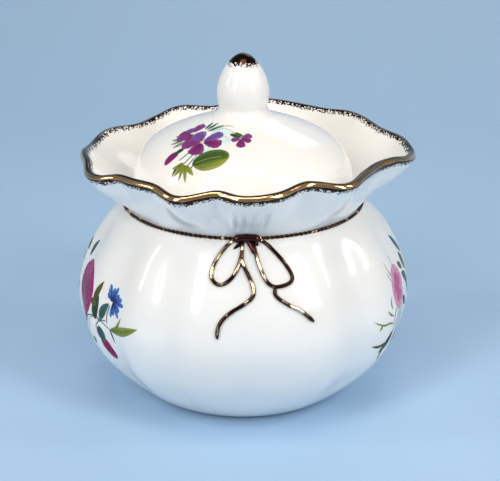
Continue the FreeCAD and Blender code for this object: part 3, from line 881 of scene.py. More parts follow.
# ---- The gilded relief ----------------------------------------------------------------------------
@dataclass
class Drawstring:
    """The relief cord round the neck and its bow, laid on the finished bowl."""

    skin: Skin
    form: PouchForm
    gold: bpy.types.Material
    # The knot's gold, painted near black as painted shade and dark reflection in the crease under the
    # collar.
    painted_shade_gold: bpy.types.Material
    cord_radius: float = 0.62
    stroke_radius: float = 0.62
    sink: float = 0.30
    # The wall's gain in radius for each millimetre below the neck.
    shoulder: float = 0.35
    # How even a roll is: its share of waver, the waver's pace, and its ends' share of its thickness.
    waver: float = 0.05
    waver_pace: float = 1.7
    end_share: float = 0.5
    route_step: float = 0.9
    strand_turns: int = 78
    strand_points: int = 8
    strand_offset: float = 0.27
    strand_radius: float = 0.36
    # The rolls of the knot, the lump, two wraps and the spike: route, radius.
    knot_rolls: tuple = (
        (((-2.9, 0.7), (1.1, 0.4), (5.1, 0.7)), 1.29), (((0.6, 0.8), (-1.2, 1.6), (-2.6, 2.5)), 0.55),
        (((1.0, 0.4), (2.0, 1.5), (2.7, 2.5), (3.2, 3.8)), 0.8),
        (((3.4, 0.1), (3.8, 1.0), (4.2, 1.8)), 0.8))
    strokes: dict = field(default_factory=lambda: {
        "bow_loop_left": [(-2.4, 0.2), (-5.2, 2.3), (-7.4, 5.2), (-8.6, 8.7), (-7.8, 10.9),
                          (-5.7, 11.7), (-3.0, 9.9), (-1.2, 6.7), (-0.3, 3.4), (-0.4, 0.3)],
        "bow_loop_right": [(4.4, 0.2), (7.3, 1.8), (10.9, 5.6), (13.2, 9.4), (13.0, 11.2),
                           (10.6, 12.1), (8.0, 12.2), (6.2, 10.6), (4.6, 7.0), (3.4, 3.0),
                           (2.6, 0.3)],
        "bow_tail_left": [(-0.4, 2.6), (-0.2, 6.0), (1.6, 9.7), (2.8, 12.6), (2.7, 15.0),
                          (0.2, 17.2), (-3.6, 19.5), (-6.0, 22.0), (-6.9, 24.8), (-6.9, 26.8)],
        "bow_tail_right": [(8.6, 12.4), (8.6, 14.6), (11.9, 17.3), (15.6, 19.6), (19.2, 23.0)]})

    def build(self) -> list[bpy.types.Object]:
        """Make the cord, the knot and the four strokes of the bow.

        Returns:
            The pieces, each riding on the bowl.
        """
        pieces = [self.cord(), self.knot()]
        for node, route in self.strokes.items():
            pieces.append(self.roll(f"gilt_{node}", [route], [self.stroke_radius], node))
        return pieces

    def on_wall(self, across: float, drop: float, lift: float) -> Vector:
        """Find a point from its distance round the neck and drop below it, in millimetres."""
        angle = math.degrees(across / (self.form.neck_radius + self.shoulder * drop))
        return self.skin.beside(angle, self.form.neck_height - drop, lift)

    def tube(self, lines: Sequence[Sequence[Vector]], sizes: Sequence[Sequence[float]], name: str,
             closed: bool = False) -> bpy.types.Object:
        """Sweep a round section along smooth lines.

        Args:
            lines: for each tube, the points it follows, in metres.
            sizes: for each tube, its radius at every point, in millimetres.
            name: the piece's name.
            closed: whether each line joins its own start.

        Returns:
            The piece, one closed mesh per line, with how far each vertex stands off the wall.
        """
        curve = bpy.data.curves.new(name, "CURVE")
        curve.dimensions = "3D"
        curve.bevel_depth = MM
        curve.bevel_resolution = 3
        curve.resolution_u = 4
        curve.use_fill_caps = True
        for line, radii in zip(lines, sizes):
            spline = curve.splines.new("NURBS")
            spline.points.add(len(line) - 1)
            for point, place, radius in zip(spline.points, line, radii):
                point.co = (*place, 1.0)
                point.radius = radius
            spline.order_u = 4
            spline.use_cyclic_u = closed
            spline.use_endpoint_u = not closed
        source = bpy.data.objects.new(name, curve)
        swept = bpy.data.meshes.new_from_object(source)
        bm = bmesh.new()
        bm.from_mesh(swept)
        bpy.data.objects.remove(source)
        bpy.data.curves.remove(curve)
        bpy.data.meshes.remove(swept)
        bmesh.ops.remove_doubles(bm, verts=bm.verts[:], dist=1e-6)
        bmesh.ops.recalc_face_normals(bm, faces=bm.faces[:])
        lift = bm.verts.layers.float.new("lift")
        for vert in bm.verts:
            place, normal, _, _ = self.skin.tree.find_nearest(vert.co)
            vert[lift] = (vert.co - place).dot(normal) / (MM * (2 * self.stroke_radius - self.sink))
        return finish_mesh(bm, name)

    def dress(self, piece: bpy.types.Object, node: str) -> bpy.types.Object:
        """Gild a piece of relief and let it stand for its solid.

        Args:
            piece: the piece.
            node: the solid that it stands for.

        Returns:
            The same piece.
        """
        piece.data.materials.append(self.painted_shade_gold if node == "bow_knot" else self.gold)
        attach(piece, "bowl")
        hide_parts(node)
        return piece

    def roll(self, name: str, routes: Sequence[Sequence[Pair]], radii: Sequence[float], node: str
             ) -> bpy.types.Object:
        """Lay rolls of clay on the wall.

        Args:
            name: the piece's name.
            routes: for each roll, points as distance round the neck and drop below it.
            radii: each roll's radius in millimetres.
            node: the solid that the piece stands for.

        Returns:
            The dressed piece.
        """
        lines, sizes = [], []
        for route, radius in zip(routes, radii):
            spaced = smooth(route, self.route_step)
            last = len(spaced) - 1
            lines.append([self.on_wall(across, drop, radius - self.sink) for across, drop in spaced])
            sizes.append([radius * (1 + self.waver * math.sin(self.waver_pace * i))
                          * (self.end_share if i in (0, last) else 1.0) for i in range(last + 1)])
        return self.dress(self.tube(lines, sizes, name), node)

    def cord(self) -> bpy.types.Object:
        """Twist two strands round the crease of the neck.

        Returns:
            The dressed cord.
        """
        around = self.form.neck_radius + self.cord_radius - self.sink
        steps = self.strand_turns * self.strand_points
        lines = []
        for start in (0.0, math.pi):
            line = []
            for k in range(steps):
                turn = math.tau * k / steps
                twist = start + turn * self.strand_turns
                radius = around + self.strand_offset * math.cos(twist)
                height = self.form.neck_height + self.strand_offset * math.sin(twist)
                line.append(Vector((radius * math.sin(turn), -radius * math.cos(turn), height)) * MM)
            lines.append(line)
        sizes = [[self.strand_radius] * steps] * 2
        piece = self.tube(lines, sizes, "gilt_neck_cord", closed=True)
        return self.dress(piece, "neck_cord")

    def knot(self) -> bpy.types.Object:
        """Make the knot: a thick lump with small wraps and a spike below."""
        routes, sizes = zip(*self.knot_rolls)
        return self.roll("gilt_bow_knot", routes, sizes, "bow_knot")


# ---- The lid --------------------------------------------------------------------------------------
@dataclass
class Lid:
    """The domed lid and its pointed knob. Sizes in millimetres."""

    seat: float = 66.6
    radius: float = 36.5
    height: float = 26.6
    wall: float = 2.8
    ring_outside: float = 32.8
    ring_inside: float = 30.4
    ring_depth: float = 5.0
    knob_seat: float = 8.6
    knob_waist: float = 7.8
    knob_radius: float = 8.5
    knob_height: float = 19.8
    columns: int = 144
    knob_columns: int = 64
    step: float = 1.6
    knob_step: float = 0.8
    # The domed underside's own line: how far above the seat it starts, and below the ceiling it ends.
    under_ends: Pair = (6.0, 0.6)
    ring_round: Pair = (0.4, 0.5)
    ring_bands: Pair = (2.0, 0.3)
    # Where the ring meets the dome's underside, as (out of its inner side, above the seat).
    ring_root: tuple = ((1.2, 2.6), (0.0, 0.5))
    # The dome's rounded edge, as (in from its radius, above the seat).
    edge: tuple = ((2.2, 0.0), (0.8, 0.0), (0.2, 0.25), (0.0, 0.8))
    ceiling_rings: tuple = (0.0, 2.5, 5.0)
    crown_rings: tuple = (0.7, 0.35, 0.0)
    # The knob's foot: the rings of its underside, how far it sinks into the dome, and its flare as
    # (radius, above the dome).
    foot_rings: tuple = (0.0, 3.5, 7.0, 10.5)
    foot_sink: float = 1.6
    foot_flare: tuple = ((11.4, -1.5), (10.0, -0.35), (8.9, 0.5), (8.1, 1.5))
    waist_height: float = 2.8

    def build(self) -> list[bpy.types.Object]:
        """Make the dome and the knob, riding on the lid's body."""
        return [self.dome(), self.knob()]

    def dome(self) -> bpy.types.Object:
        """Turn the lid's shell, with its seat and locating ring.

        Returns:
            The dome's piece, riding on the lid's body.
        """
        seat, top = self.seat, self.seat + self.height
        shares = ((1.0, 0.05), (0.995, 0.16), (0.975, 0.32), (0.935, 0.475), (0.87, 0.60),
                  (0.775, 0.705), (0.66, 0.79), (0.52, 0.87), (0.37, 0.94))
        outside = smooth([(self.radius * r, seat + self.height * h) for r, h in shares]
                         + [(self.knob_seat, top)], self.step)
        above, short = self.under_ends
        under = [p for p in inward(outside, self.wall)
                 if seat + above < p[1] < top - self.wall - short]
        edge = [(self.radius - r, seat + z) for r, z in self.edge]
        ceiling = [(r, top - self.wall) for r in self.ceiling_rings]
        crown = [(self.knob_seat * share, top) for share in self.crown_rings]
        section = ceiling + under[::-1] + self.ring() + edge + outside + crown
        bm = lathe(section, self.columns)
        bmesh.ops.scale(bm, vec=(MM, MM, MM), verts=bm.verts[:])
        piece = finish_mesh(bm, "china_lid", levels=1)
        piece.data.materials.append(GlazedChina().material("lid_glaze"))
        return self.ride(piece, "lid_dome", "lid_ring")

    def ring(self) -> list[Pair]:
        """Give the locating ring's section, from its root inside to its root outside.

        Returns:
            (radius, height) points.
        """
        seat, inner, outer = self.seat, self.ring_inside, self.ring_outside
        low = seat - self.ring_depth
        (across, up), (band, neck) = self.ring_round, self.ring_bands
        return ([(inner + r, seat + z) for r, z in self.ring_root]
                + [(inner, seat - band), (inner, low + up), (inner + across, low), (outer - across, low),
                   (outer, low + up), (outer, seat - band), (outer, seat - neck), (outer + neck, seat)])

    def knob(self) -> bpy.types.Object:
        """Turn the knob, with a gilded tip.

        Returns:
            The knob's piece, riding on the lid's body.
        """
        base = self.seat + self.height
        shares = ((0.95, 0.18), (0.99, 0.30), (1.0, 0.40), (0.945, 0.52), (0.85, 0.635),
                  (0.71, 0.75), (0.51, 0.87), (0.29, 0.955), (0.11, 0.99))
        side = [(r, base + z) for r, z in self.foot_flare]
        side.append((self.knob_waist, base + self.waist_height))
        side += [(self.knob_radius * r, base + self.knob_height * h) for r, h in shares]
        side.append((0.0, base + self.knob_height))
        section = [(r, base - self.foot_sink) for r in self.foot_rings]
        bm = lathe(section + smooth(side, self.knob_step), self.knob_columns)
        bmesh.ops.scale(bm, vec=(MM, MM, MM), verts=bm.verts[:])
        piece = finish_mesh(bm, "china_knob", levels=1)
        piece.data.materials.append(GlazedChina(Gilded.TIP).material("knob_glaze"))
        return self.ride(piece, "lid_knob")

    @staticmethod
    def ride(piece: bpy.types.Object, *nodes: str) -> bpy.types.Object:
        """Let a piece ride on the lid and stand for its solids.

        Args:
            piece: the piece.
            nodes: the solids that it stands for.

        Returns:
            The same piece.
        """
        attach(piece, "lid")
        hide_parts(*nodes)
        return piece


# ---- The flower transfers -------------------------------------------------------------------------
class Outline(Enum):
    """How a printed shape swells: powers of the share of its length from its start and its end."""

    LEAF = (0.75, 0.9)
    PETAL = (0.9, 0.38)
    BUD = (0.5, 0.5)
    STEM = (0.12, 0.2)

    def swell(self, share: float) -> float:
        """Give the width at a share of the length, from 0 to 1.

        Args:
            share: where along the length.

        Returns:
            The width, from 0 to 1.
        """
        start, end = self.value
        peak = start / (start + end)
        top = peak ** start * (1 - peak) ** end
        return max(share, 0.0) ** start * max(1 - share, 0.0) ** end / top


@dataclass(frozen=True)
class Ink:
    """The colours of a printed shape where it starts, where it ends and along its outline."""

    base: Colour
    tip: Colour
    edge: Colour
    vein: float = 0.25

    def at(self, share: float, side: float) -> Colour:
        """Give the colour at a share of the length, and a side from -1 to 1.

        Args:
            share: where along the length, from 0 to 1.
            side: where across it.

        Returns:
            The colour.
        """
        rim = min(1.0, abs(side) ** 3 * 0.8 + max(0.0, share - 0.85) * 3)
        inner = [a + (b - a) * share for a, b in zip(self.base, self.tip)]
        red, green, blue = (a + (b - a) * rim for a, b in zip(inner, self.edge))
        return red, green, blue


@dataclass(frozen=True)
class Palette:
    """The inks of the transfers."""

    violet: Ink = Ink((0.20, 0.03, 0.20), (0.27, 0.05, 0.26), (0.36, 0.10, 0.36), 0.45)
    blue_violet: Ink = Ink((0.20, 0.05, 0.26), (0.16, 0.10, 0.38), (0.26, 0.20, 0.52), 0.4)
    plum: Ink = Ink((0.13, 0.015, 0.12), (0.28, 0.035, 0.20), (0.40, 0.08, 0.30), 0.5)
    magenta: Ink = Ink((0.22, 0.002, 0.05), (0.40, 0.010, 0.14), (0.62, 0.06, 0.32), 0.55)
    crimson: Ink = Ink((0.13, 0.002, 0.016), (0.28, 0.004, 0.06), (0.36, 0.012, 0.10), 0.55)
    pink: Ink = Ink((0.70, 0.14, 0.34), (0.84, 0.36, 0.55), (0.88, 0.58, 0.70), 0.25)
    deep_pink: Ink = Ink((0.52, 0.03, 0.16), (0.70, 0.11, 0.32), (0.78, 0.28, 0.48), 0.35)
    cornflower: Ink = Ink((0.02, 0.04, 0.26), (0.05, 0.20, 0.60), (0.16, 0.40, 0.80), 0.3)
    midnight: Ink = Ink((0.012, 0.012, 0.09), (0.03, 0.06, 0.30), (0.06, 0.10, 0.40), 0.3)
    cream: Ink = Ink((0.80, 0.70, 0.30), (0.90, 0.86, 0.66), (0.86, 0.80, 0.52), 0.1)
    green: Ink = Ink((0.025, 0.09, 0.02), (0.06, 0.15, 0.02), (0.21, 0.30, 0.03), 0.5)
    dark_green: Ink = Ink((0.015, 0.05, 0.022), (0.03, 0.10, 0.04), (0.06, 0.15, 0.07), 0.5)
    olive: Ink = Ink((0.05, 0.07, 0.02), (0.13, 0.16, 0.035), (0.20, 0.22, 0.07), 0.5)
    lime: Ink = Ink((0.14, 0.21, 0.02), (0.30, 0.36, 0.04), (0.40, 0.45, 0.10), 0.35)
    teal: Ink = Ink((0.02, 0.085, 0.08), (0.04, 0.17, 0.15), (0.12, 0.28, 0.25), 0.4)
    haze: Ink = Ink((0.62, 0.84, 0.84), (0.72, 0.88, 0.88), (0.88, 0.93, 0.92), 0.0)
    sage: Ink = Ink((0.16, 0.24, 0.17), (0.30, 0.38, 0.28), (0.44, 0.50, 0.40), 0.3)


INKS = Palette()


@dataclass(frozen=True)
class Stroke:
    """One printed petal, leaf, bud or stem: the middle line it follows, and its widest width in mm."""

    route: tuple[Pair, ...]
    width: float
    ink: Ink
    outline: Outline = Outline.LEAF
    layer: int = 0
    ruffle: float = 0.0


@dataclass
class Transfer:
    """A printed flower spray: a thin film of many overlapping shapes, laid on a finished surface.

    Its shapes are drawn in two numbers that `ground` turns into a place on the surface. `grain` is the
    length in millimetres of one unit of the first number.
    """

    name: str
    body: str
    ground: Callable[[float, float, float], Vector]
    grain: float = 1.0
    # Millimetres: the lowest shape's height off the surface, each layer's step, the film's thickness
    # and the spacing along a shape.
    lift: float = 0.03
    layer_step: float = 0.012
    film: float = 0.06
    spacing: float = 0.5
    # The rows of a shape's grid, at least and at most, and the columns of a stem and of any other.
    row_range: tuple[int, int] = (4, 30)
    stem_columns: int = 2
    columns: int = 6
    strokes: list[Stroke] = field(default_factory=list)

    def leaf(self, route: tuple[Pair, ...], width: float, ink: Ink, layer: int = 1) -> None:
        """Add a pointed leaf."""
        self.strokes.append(Stroke(route, width, ink, Outline.LEAF, layer))

    def bud(self, route: tuple[Pair, ...], width: float, ink: Ink, layer: int = 2) -> None:
        """Add a shape that is round at both ends."""
        self.strokes.append(Stroke(route, width, ink, Outline.BUD, layer))

    def stem(self, route: tuple[Pair, ...], ink: Ink, width: float = 0.4, layer: int = 0) -> None:
        """Add a thin line."""
        self.strokes.append(Stroke(route, width, ink, Outline.STEM, layer))

    def petal(self, centre: Pair, turn: float, length: float, width: float, ink: Ink, layer: int = 3,
              start: float = 0.0, ruffle: float = 0.0) -> None:
        """Add a petal.

        Args:
            centre: the flower's centre.
            turn: the petal's direction, in degrees from the first number's axis to the second's.
            length: distance of its tip from the centre, in millimetres.
            width: its widest width.
            ink: its colours.
            layer: its place in the stack, with 0 lowest.
            start: distance of its foot from the centre.
            ruffle: how wavy its outline is.
        """
        along = (math.cos(math.radians(turn)) / self.grain, math.sin(math.radians(turn)))
        route = tuple((centre[0] + along[0] * d, centre[1] + along[1] * d) for d in (start, length))
        self.strokes.append(Stroke(route, width, ink, Outline.PETAL, layer, ruffle))

    def draw(self, bm: bmesh.types.BMesh, stroke: Stroke) -> None:
        """Lay one shape on the surface as a bent grid.

        Args:
            bm: the mesh to add to, with its layers made.
            stroke: the shape.
        """
        tint, side_layer = bm.verts.layers.float_color["tint"], bm.verts.layers.float["side"]
        vein = bm.verts.layers.float["vein"]
        middle = [(a * self.grain, b) for a, b in stroke.route]
        line = smooth(middle, self.spacing)
        fewest, most = self.row_range
        rows = max(fewest, min(len(line) - 1, most))
        columns = self.stem_columns if stroke.outline is Outline.STEM else self.columns
        made = bmesh.ops.create_grid(bm, x_segments=rows, y_segments=columns, size=1.0)["verts"]
        for vert in made:
            share, side = (vert.co.x + 1) / 2, vert.co.y
            reach = share * (len(line) - 1)
            i = min(int(reach), len(line) - 2)
            (a0, b0), (a1, b1) = line[i], line[i + 1]
            run = math.hypot(a1 - a0, b1 - b0)
            half = stroke.width / 2 * max(0.03, stroke.outline.swell(share))
            half *= 1 + stroke.ruffle * math.sin(7 * math.pi * share + 2 * side)
            part = reach - i
            a = a0 + (a1 - a0) * part - (b1 - b0) / run * side * half
            b = b0 + (b1 - b0) * part + (a1 - a0) / run * side * half
            vert.co = self.ground(a / self.grain, b, self.lift + self.layer_step * stroke.layer)
            vert[tint] = (*stroke.ink.at(share, side), 1.0)
            vert[side_layer] = side
            vert[vein] = stroke.ink.vein

    def build(self, material: bpy.types.Material) -> bpy.types.Object:
        """Make the spray's piece.

        Args:
            material: the print's material.

        Returns:
            The piece, riding on the body that it is printed on.
        """
        bm = bmesh.new()
        bm.verts.layers.float_color.new("tint")
        bm.verts.layers.float.new("side")
        bm.verts.layers.float.new("vein")
        for stroke in self.strokes:
            self.draw(bm, stroke)
        bm.normal_update()
        inside_out = [f for f in bm.faces if f.normal.dot(f.calc_center_median() - MIDDLE) < 0]
        bmesh.ops.reverse_faces(bm, faces=inside_out)
        piece = finish_mesh(bm, self.name)
        film = piece.modifiers.new("Film", "SOLIDIFY")
        film.thickness, film.offset = self.film * MM, -1.0
        piece.data.materials.append(material)
        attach(piece, self.body)
        return piece


def print_material() -> bpy.types.Material:
    """Make the material of the transfers: their own colours, with fine streaks, under the glaze.

    Returns:
        The material, which reads the prints' own tint, side and vein.
    """
    shader = Shader("flower_print")
    streaks = (shader.attribute("side") * 13.0 + shader.noise(1.2) * 5.0).wave() * 0.5 + 0.5
    dark = streaks * shader.attribute("vein") + shader.noise(2.0, 2.0).rise(0.45, 0.75) * 0.25
    colour = shader.mix(dark * 0.8, shader.tint("tint"), (0.05, 0.008, 0.04))
    return shader.dress(Base_Color=colour, Roughness=0.24 + shader.noise(6.0) * 0.08,
                        Specular_IOR_Level=0.12,
                        Normal=shader.bump(shader.noise(3.0), 0.03))


def lid_violets(skin: Skin) -> Transfer:
    """Draw the violets on the lid, left of its front, in millimetres in plan.

    Args:
        skin: the finished lid.

    Returns:
        The spray, ready to build.
    """
    spray = Transfer("lid_violets", "lid", skin.above)
    front, back, small = (-12.8, -18.0), (-16.2, -11.4), (-0.6, -18.8)
    spray.bud(((-10.5, -19.4), (-3.4, -19.4)), 5.6, INKS.haze, 0)
    spray.bud(((-15.4, -24.6), (-9.0, -20.8)), 4.4, INKS.haze, 0)
    spray.bud(((-9.4, -12.8), (-3.6, -15.4)), 4.0, INKS.haze, 0)
    spray.leaf(((-15.3, -26.6), (-11.0, -26.9), (-7.0, -27.2), (-4.2, -26.6)), 5.2, INKS.lime, 1)
    spray.bud(((-15.6, -26.2), (-11.6, -25.4), (-7.4, -25.2), (-4.2, -26.2)), 4.8, INKS.green, 2)
    spray.stem(((-15.2, -26.2), (-11.0, -25.9), (-6.4, -26.0)), INKS.lime, 0.3, 3)
    for foot, top in (((-18.6, -25.0), (-14.6, -20.6)), ((-17.4, -26.2), (-13.4, -20.8)),
                      ((-16.6, -27.6), (-12.0, -21.6)), ((-19.9, -22.9), (-15.6, -19.6))):
        spray.stem((foot, ((foot[0] + top[0]) / 2 + 0.7, (foot[1] + top[1]) / 2 - 0.3), top), INKS.teal)
    for tip in ((-21.4, -26.2), (-19.9, -27.9), (-17.7, -29.4), (-21.9, -24.0), (-15.2, -29.2)):
        spray.leaf(((-17.9, -25.4), tip), 1.2, INKS.lime, 1)
    spray.leaf(((-18.3, -24.4), (-20.4, -24.7), (-22.0, -25.9)), 1.2, INKS.green, 1)
    for foot, tip in (((-18.0, -14.2), (-22.9, -13.6)), ((-18.4, -13.4), (-22.6, -11.2)),
                      ((-18.5, -12.4), (-21.2, -9.6)), ((-18.2, -15.4), (-22.2, -16.0))):
        spray.leaf((foot, tip), 1.5, INKS.sage, 1)
    for foot, tip in (((-12.0, -11.0), (-9.4, -7.4)), ((-11.4, -11.6), (-7.6, -8.6)),
                      ((-11.2, -12.6), (-5.9, -10.6)), ((-13.6, -9.4), (-12.6, -6.2))):
        spray.leaf((foot, tip), 1.1, INKS.teal, 1)
    spray.stem(((-10.4, -13.0), (-6.4, -12.6), (-3.9, -14.2), (-2.4, -16.6)), INKS.sage, 0.35)
    spray.stem(((-9.4, -12.4), (-5.4, -11.2), (-2.6, -12.6)), INKS.lime, 0.3)
    spray.bud(((-19.9, -19.6), (-22.2, -20.0), (-24.4, -21.2)), 2.9, INKS.plum, 3)
    spray.leaf(((-18.2, -18.6), (-21.4, -19.4)), 1.7, INKS.dark_green, 4)
    for turn, length, width, ink in ((148, 4.6, 3.4, INKS.plum), (196, 5.0, 3.8, INKS.violet),
                                     (100, 3.9, 3.0, INKS.blue_violet), (48, 5.6, 3.6, INKS.violet),
                                     (262, 4.0, 3.4, INKS.plum)):
        spray.petal(back, turn, length, width, ink, 3, 0.2, 0.06)
    spray.bud(((-16.6, -11.6), (-15.4, -11.2)), 1.0, INKS.cream, 5)
    for turn, length, width, ink in ((104, 6.2, 4.8, INKS.blue_violet), (166, 6.6, 4.6, INKS.violet),
                                     (22, 7.2, 3.6, INKS.blue_violet), (334, 6.8, 4.0, INKS.plum),
                                     (243, 5.6, 5.2, INKS.plum)):
        spray.petal(front, turn, length, width, ink, 5, 0.3, 0.06)
    spray.bud(((-13.4, -18.3), (-12.0, -17.9)), 1.3, INKS.cream, 7)
    for turn, length, width, ink in ((268, 4.2, 2.9, INKS.plum), (190, 3.2, 2.1, INKS.violet),
                                     (32, 3.9, 2.6, INKS.violet), (338, 3.4, 2.2, INKS.plum)):
        spray.petal(small, turn, length, width, ink, 4, 0.1, 0.06)
    spray.leaf(((-4.1, -16.2), (-0.4, -18.3)), 1.6, INKS.dark_green, 5)
    spray.leaf(((-2.6, -15.4), (0.4, -17.9)), 1.1, INKS.green, 5)
    return spray


def left_bouquet(skin: Skin) -> Transfer:
    """Draw the bouquet on the bowl's left flank, in degrees from the front and height in mm.

    Args:
        skin: the finished bowl.

    Returns:
        The spray, ready to build.
    """
    spray = Transfer("left_bouquet", "bowl", skin.beside, WALL_DEGREE)
    bloom, star = (-72.8, 39.0), (-52.2, 40.2)
    spray.leaf(((-81.5, 47.0), (-80.6, 50.2), (-78.6, 53.0)), 2.6, INKS.teal)
    spray.leaf(((-86.0, 47.6), (-89.5, 51.4)), 3.0, INKS.green)
    spray.leaf(((-87.6, 44.0), (-93.6, 47.4)), 2.6, INKS.olive)
    spray.leaf(((-86.4, 36.0), (-91.4, 31.4)), 3.4, INKS.teal)
    spray.stem(((-57.0, 32.6), (-62.0, 33.4), (-68.0, 31.6), (-73.0, 33.8)), INKS.teal)
    spray.stem(((-57.2, 32.4), (-60.6, 33.4), (-64.2, 31.4), (-65.4, 27.6)), INKS.sage, 0.35)
    spray.stem(((-54.6, 33.4), (-57.6, 32.9), (-59.8, 30.4), (-59.0, 28.6)), INKS.teal)
    spray.stem(((-59.8, 38.0), (-60.2, 35.0), (-57.2, 32.8), (-52.2, 30.8)), INKS.teal)
    spray.stem(((-53.2, 39.2), (-54.2, 35.2), (-54.0, 32.6)), INKS.dark_green)
    spray.leaf(((-52.9, 31.2), (-51.6, 29.2), (-50.6, 26.7)), 0.8, INKS.dark_green)
    spray.leaf(((-52.6, 30.9), (-45.0, 32.8), (-36.4, 36.2)), 3.0, INKS.lime)
    spray.stem(((-52.4, 31.0), (-44.8, 32.9), (-38.0, 35.6)), INKS.green, 0.25, 3)
    spray.leaf(((-52.0, 31.6), (-48.4, 33.0), (-45.6, 37.2)), 1.2, INKS.lime)
    spray.leaf(((-57.4, 33.2), (-56.2, 36.8), (-53.8, 39.4)), 3.0, INKS.teal, 2)
    spray.leaf(((-61.8, 36.8), (-60.8, 41.0), (-58.6, 45.4)), 2.4, INKS.olive, 2)
    spray.leaf(((-60.0, 32.6), (-60.6, 36.4), (-59.4, 40.6)), 3.4, INKS.dark_green, 3)
    spray.leaf(((-63.6, 38.6), (-60.0, 37.0)), 2.4, INKS.olive, 4)
    spray.leaf(((-58.4, 30.8), (-57.8, 28.2), (-56.6, 25.2)), 3.5, INKS.teal, 3)
    spray.bud(((-57.6, 27.2), (-55.8, 23.4), (-53.4, 20.4)), 4.2, INKS.magenta, 2)
    spray.bud(((-56.0, 24.0), (-54.8, 22.0), (-53.0, 20.2)), 4.0, INKS.crimson, 2)
    spray.leaf(((-63.6, 25.4), (-62.8, 23.0)), 1.8, INKS.green)
    spray.leaf(((-66.6, 33.6), (-68.6, 28.6)), 2.2, INKS.teal)
    for turn in (14, 58, 100, 146, 190, 236, 282, 328):
        spray.petal(bloom, turn, 9.0, 7.4, INKS.magenta, 3 + turn % 3, 1.2, 0.16)
    for turn in (34, 80, 124, 170, 216, 262, 306, 350):
        spray.petal(bloom, turn, 7.4, 5.2, INKS.magenta, 6, 0.8, 0.12)
    for turn in (0, 52, 104, 156, 208, 260, 312):
        spray.petal(bloom, turn, 4.6, 3.6, INKS.crimson, 8, 0.3, 0.10)
    for turn, length in ((116, 5.8), (92, 4.6), (72, 5.4), (46, 4.4), (24, 5.6), (6, 6.6), (340, 5.0),
                         (318, 5.8), (292, 4.2), (270, 4.8), (140, 3.8)):
        spray.petal(star, turn, length, 1.25, INKS.cornflower, 4, 0.8)
        spray.petal(star, turn + 12, length * 0.8, 0.8, INKS.cornflower, 4, 1.6)
        spray.petal(star, turn + 6, length * 0.5, 0.7, INKS.midnight, 5, 0.2)
    return spray


def right_spray(skin: Skin) -> Transfer:
    """Draw the rose spray on the bowl's right flank, in degrees from the front and height in mm.

    Args:
        skin: the finished bowl.

    Returns:
        The spray, ready to build.
    """
    spray = Transfer("right_spray", "bowl", skin.beside, WALL_DEGREE)
    rose = (70.6, 39.9)
    spray.leaf(((83.0, 53.4), (86.2, 49.6), (90.6, 45.6)), 2.8, INKS.teal)
    spray.leaf(((84.0, 47.2), (86.4, 43.6), (89.0, 39.8)), 3.4, INKS.green)
    spray.leaf(((78.4, 45.4), (82.6, 42.4)), 2.2, INKS.olive)
    spray.leaf(((80.0, 41.4), (84.6, 38.2), (86.0, 33.0)), 3.4, INKS.teal)
    for route in (((63.0, 50.0), (64.4, 46.4), (68.0, 42.6)),
                  ((65.4, 47.0), (66.2, 43.6), (68.6, 41.4)),
                  ((62.4, 46.8), (64.4, 43.8), (67.4, 41.6)),
                  ((70.6, 50.2), (71.6, 46.8), (71.4, 44.4))):
        spray.stem(route, INKS.sage, 0.35)
    for route in (((69.6, 35.0), (66.6, 31.8), (62.6, 28.6), (60.6, 26.2)),
                  ((71.4, 34.8), (69.8, 30.4), (66.0, 26.2)), ((73.6, 35.2), (73.4, 30.0), (70.2, 24.4)),
                  ((67.4, 35.6), (63.6, 34.2), (61.8, 30.2))):
        spray.stem(route, INKS.teal, 0.45)
    for route, width in ((((61.8, 30.4), (58.8, 31.6), (55.0, 32.0), (50.2, 34.4)), 0.7),
                         (((61.4, 33.2), (59.0, 34.6), (57.6, 36.2)), 0.7),
                         (((61.0, 35.4), (60.4, 37.8), (61.4, 39.8)), 0.7),
                         (((54.6, 32.2), (53.4, 30.4)), 0.9)):
        spray.leaf(route, width, INKS.lime)
    spray.leaf(((61.8, 28.2), (59.6, 24.8), (55.8, 21.6)), 3.0, INKS.dark_green, 2)
    spray.leaf(((59.4, 25.0), (55.0, 24.4), (51.0, 25.4)), 1.2, INKS.olive, 1)
    spray.leaf(((57.8, 22.8), (57.6, 20.2), (58.4, 17.8)), 0.9, INKS.teal, 1)
    spray.leaf(((66.4, 26.6), (64.4, 22.8)), 2.0, INKS.green)
    spray.leaf(((76.4, 34.6), (80.2, 30.6)), 2.6, INKS.dark_green)
    for turn in (12, 62, 112, 162, 212, 262, 312):
        spray.petal(rose, turn, 7.2, 6.0, INKS.pink, 3, 0.4, 0.08)
    for turn in (36, 100, 164, 228, 292):
        spray.petal(rose, turn, 4.8, 4.2, INKS.deep_pink, 5, 0.2, 0.08)
    spray.bud(((rose[0] - 1.4, rose[1]), (rose[0] + 1.4, rose[1])), 2.4, INKS.deep_pink, 7)
    return spray


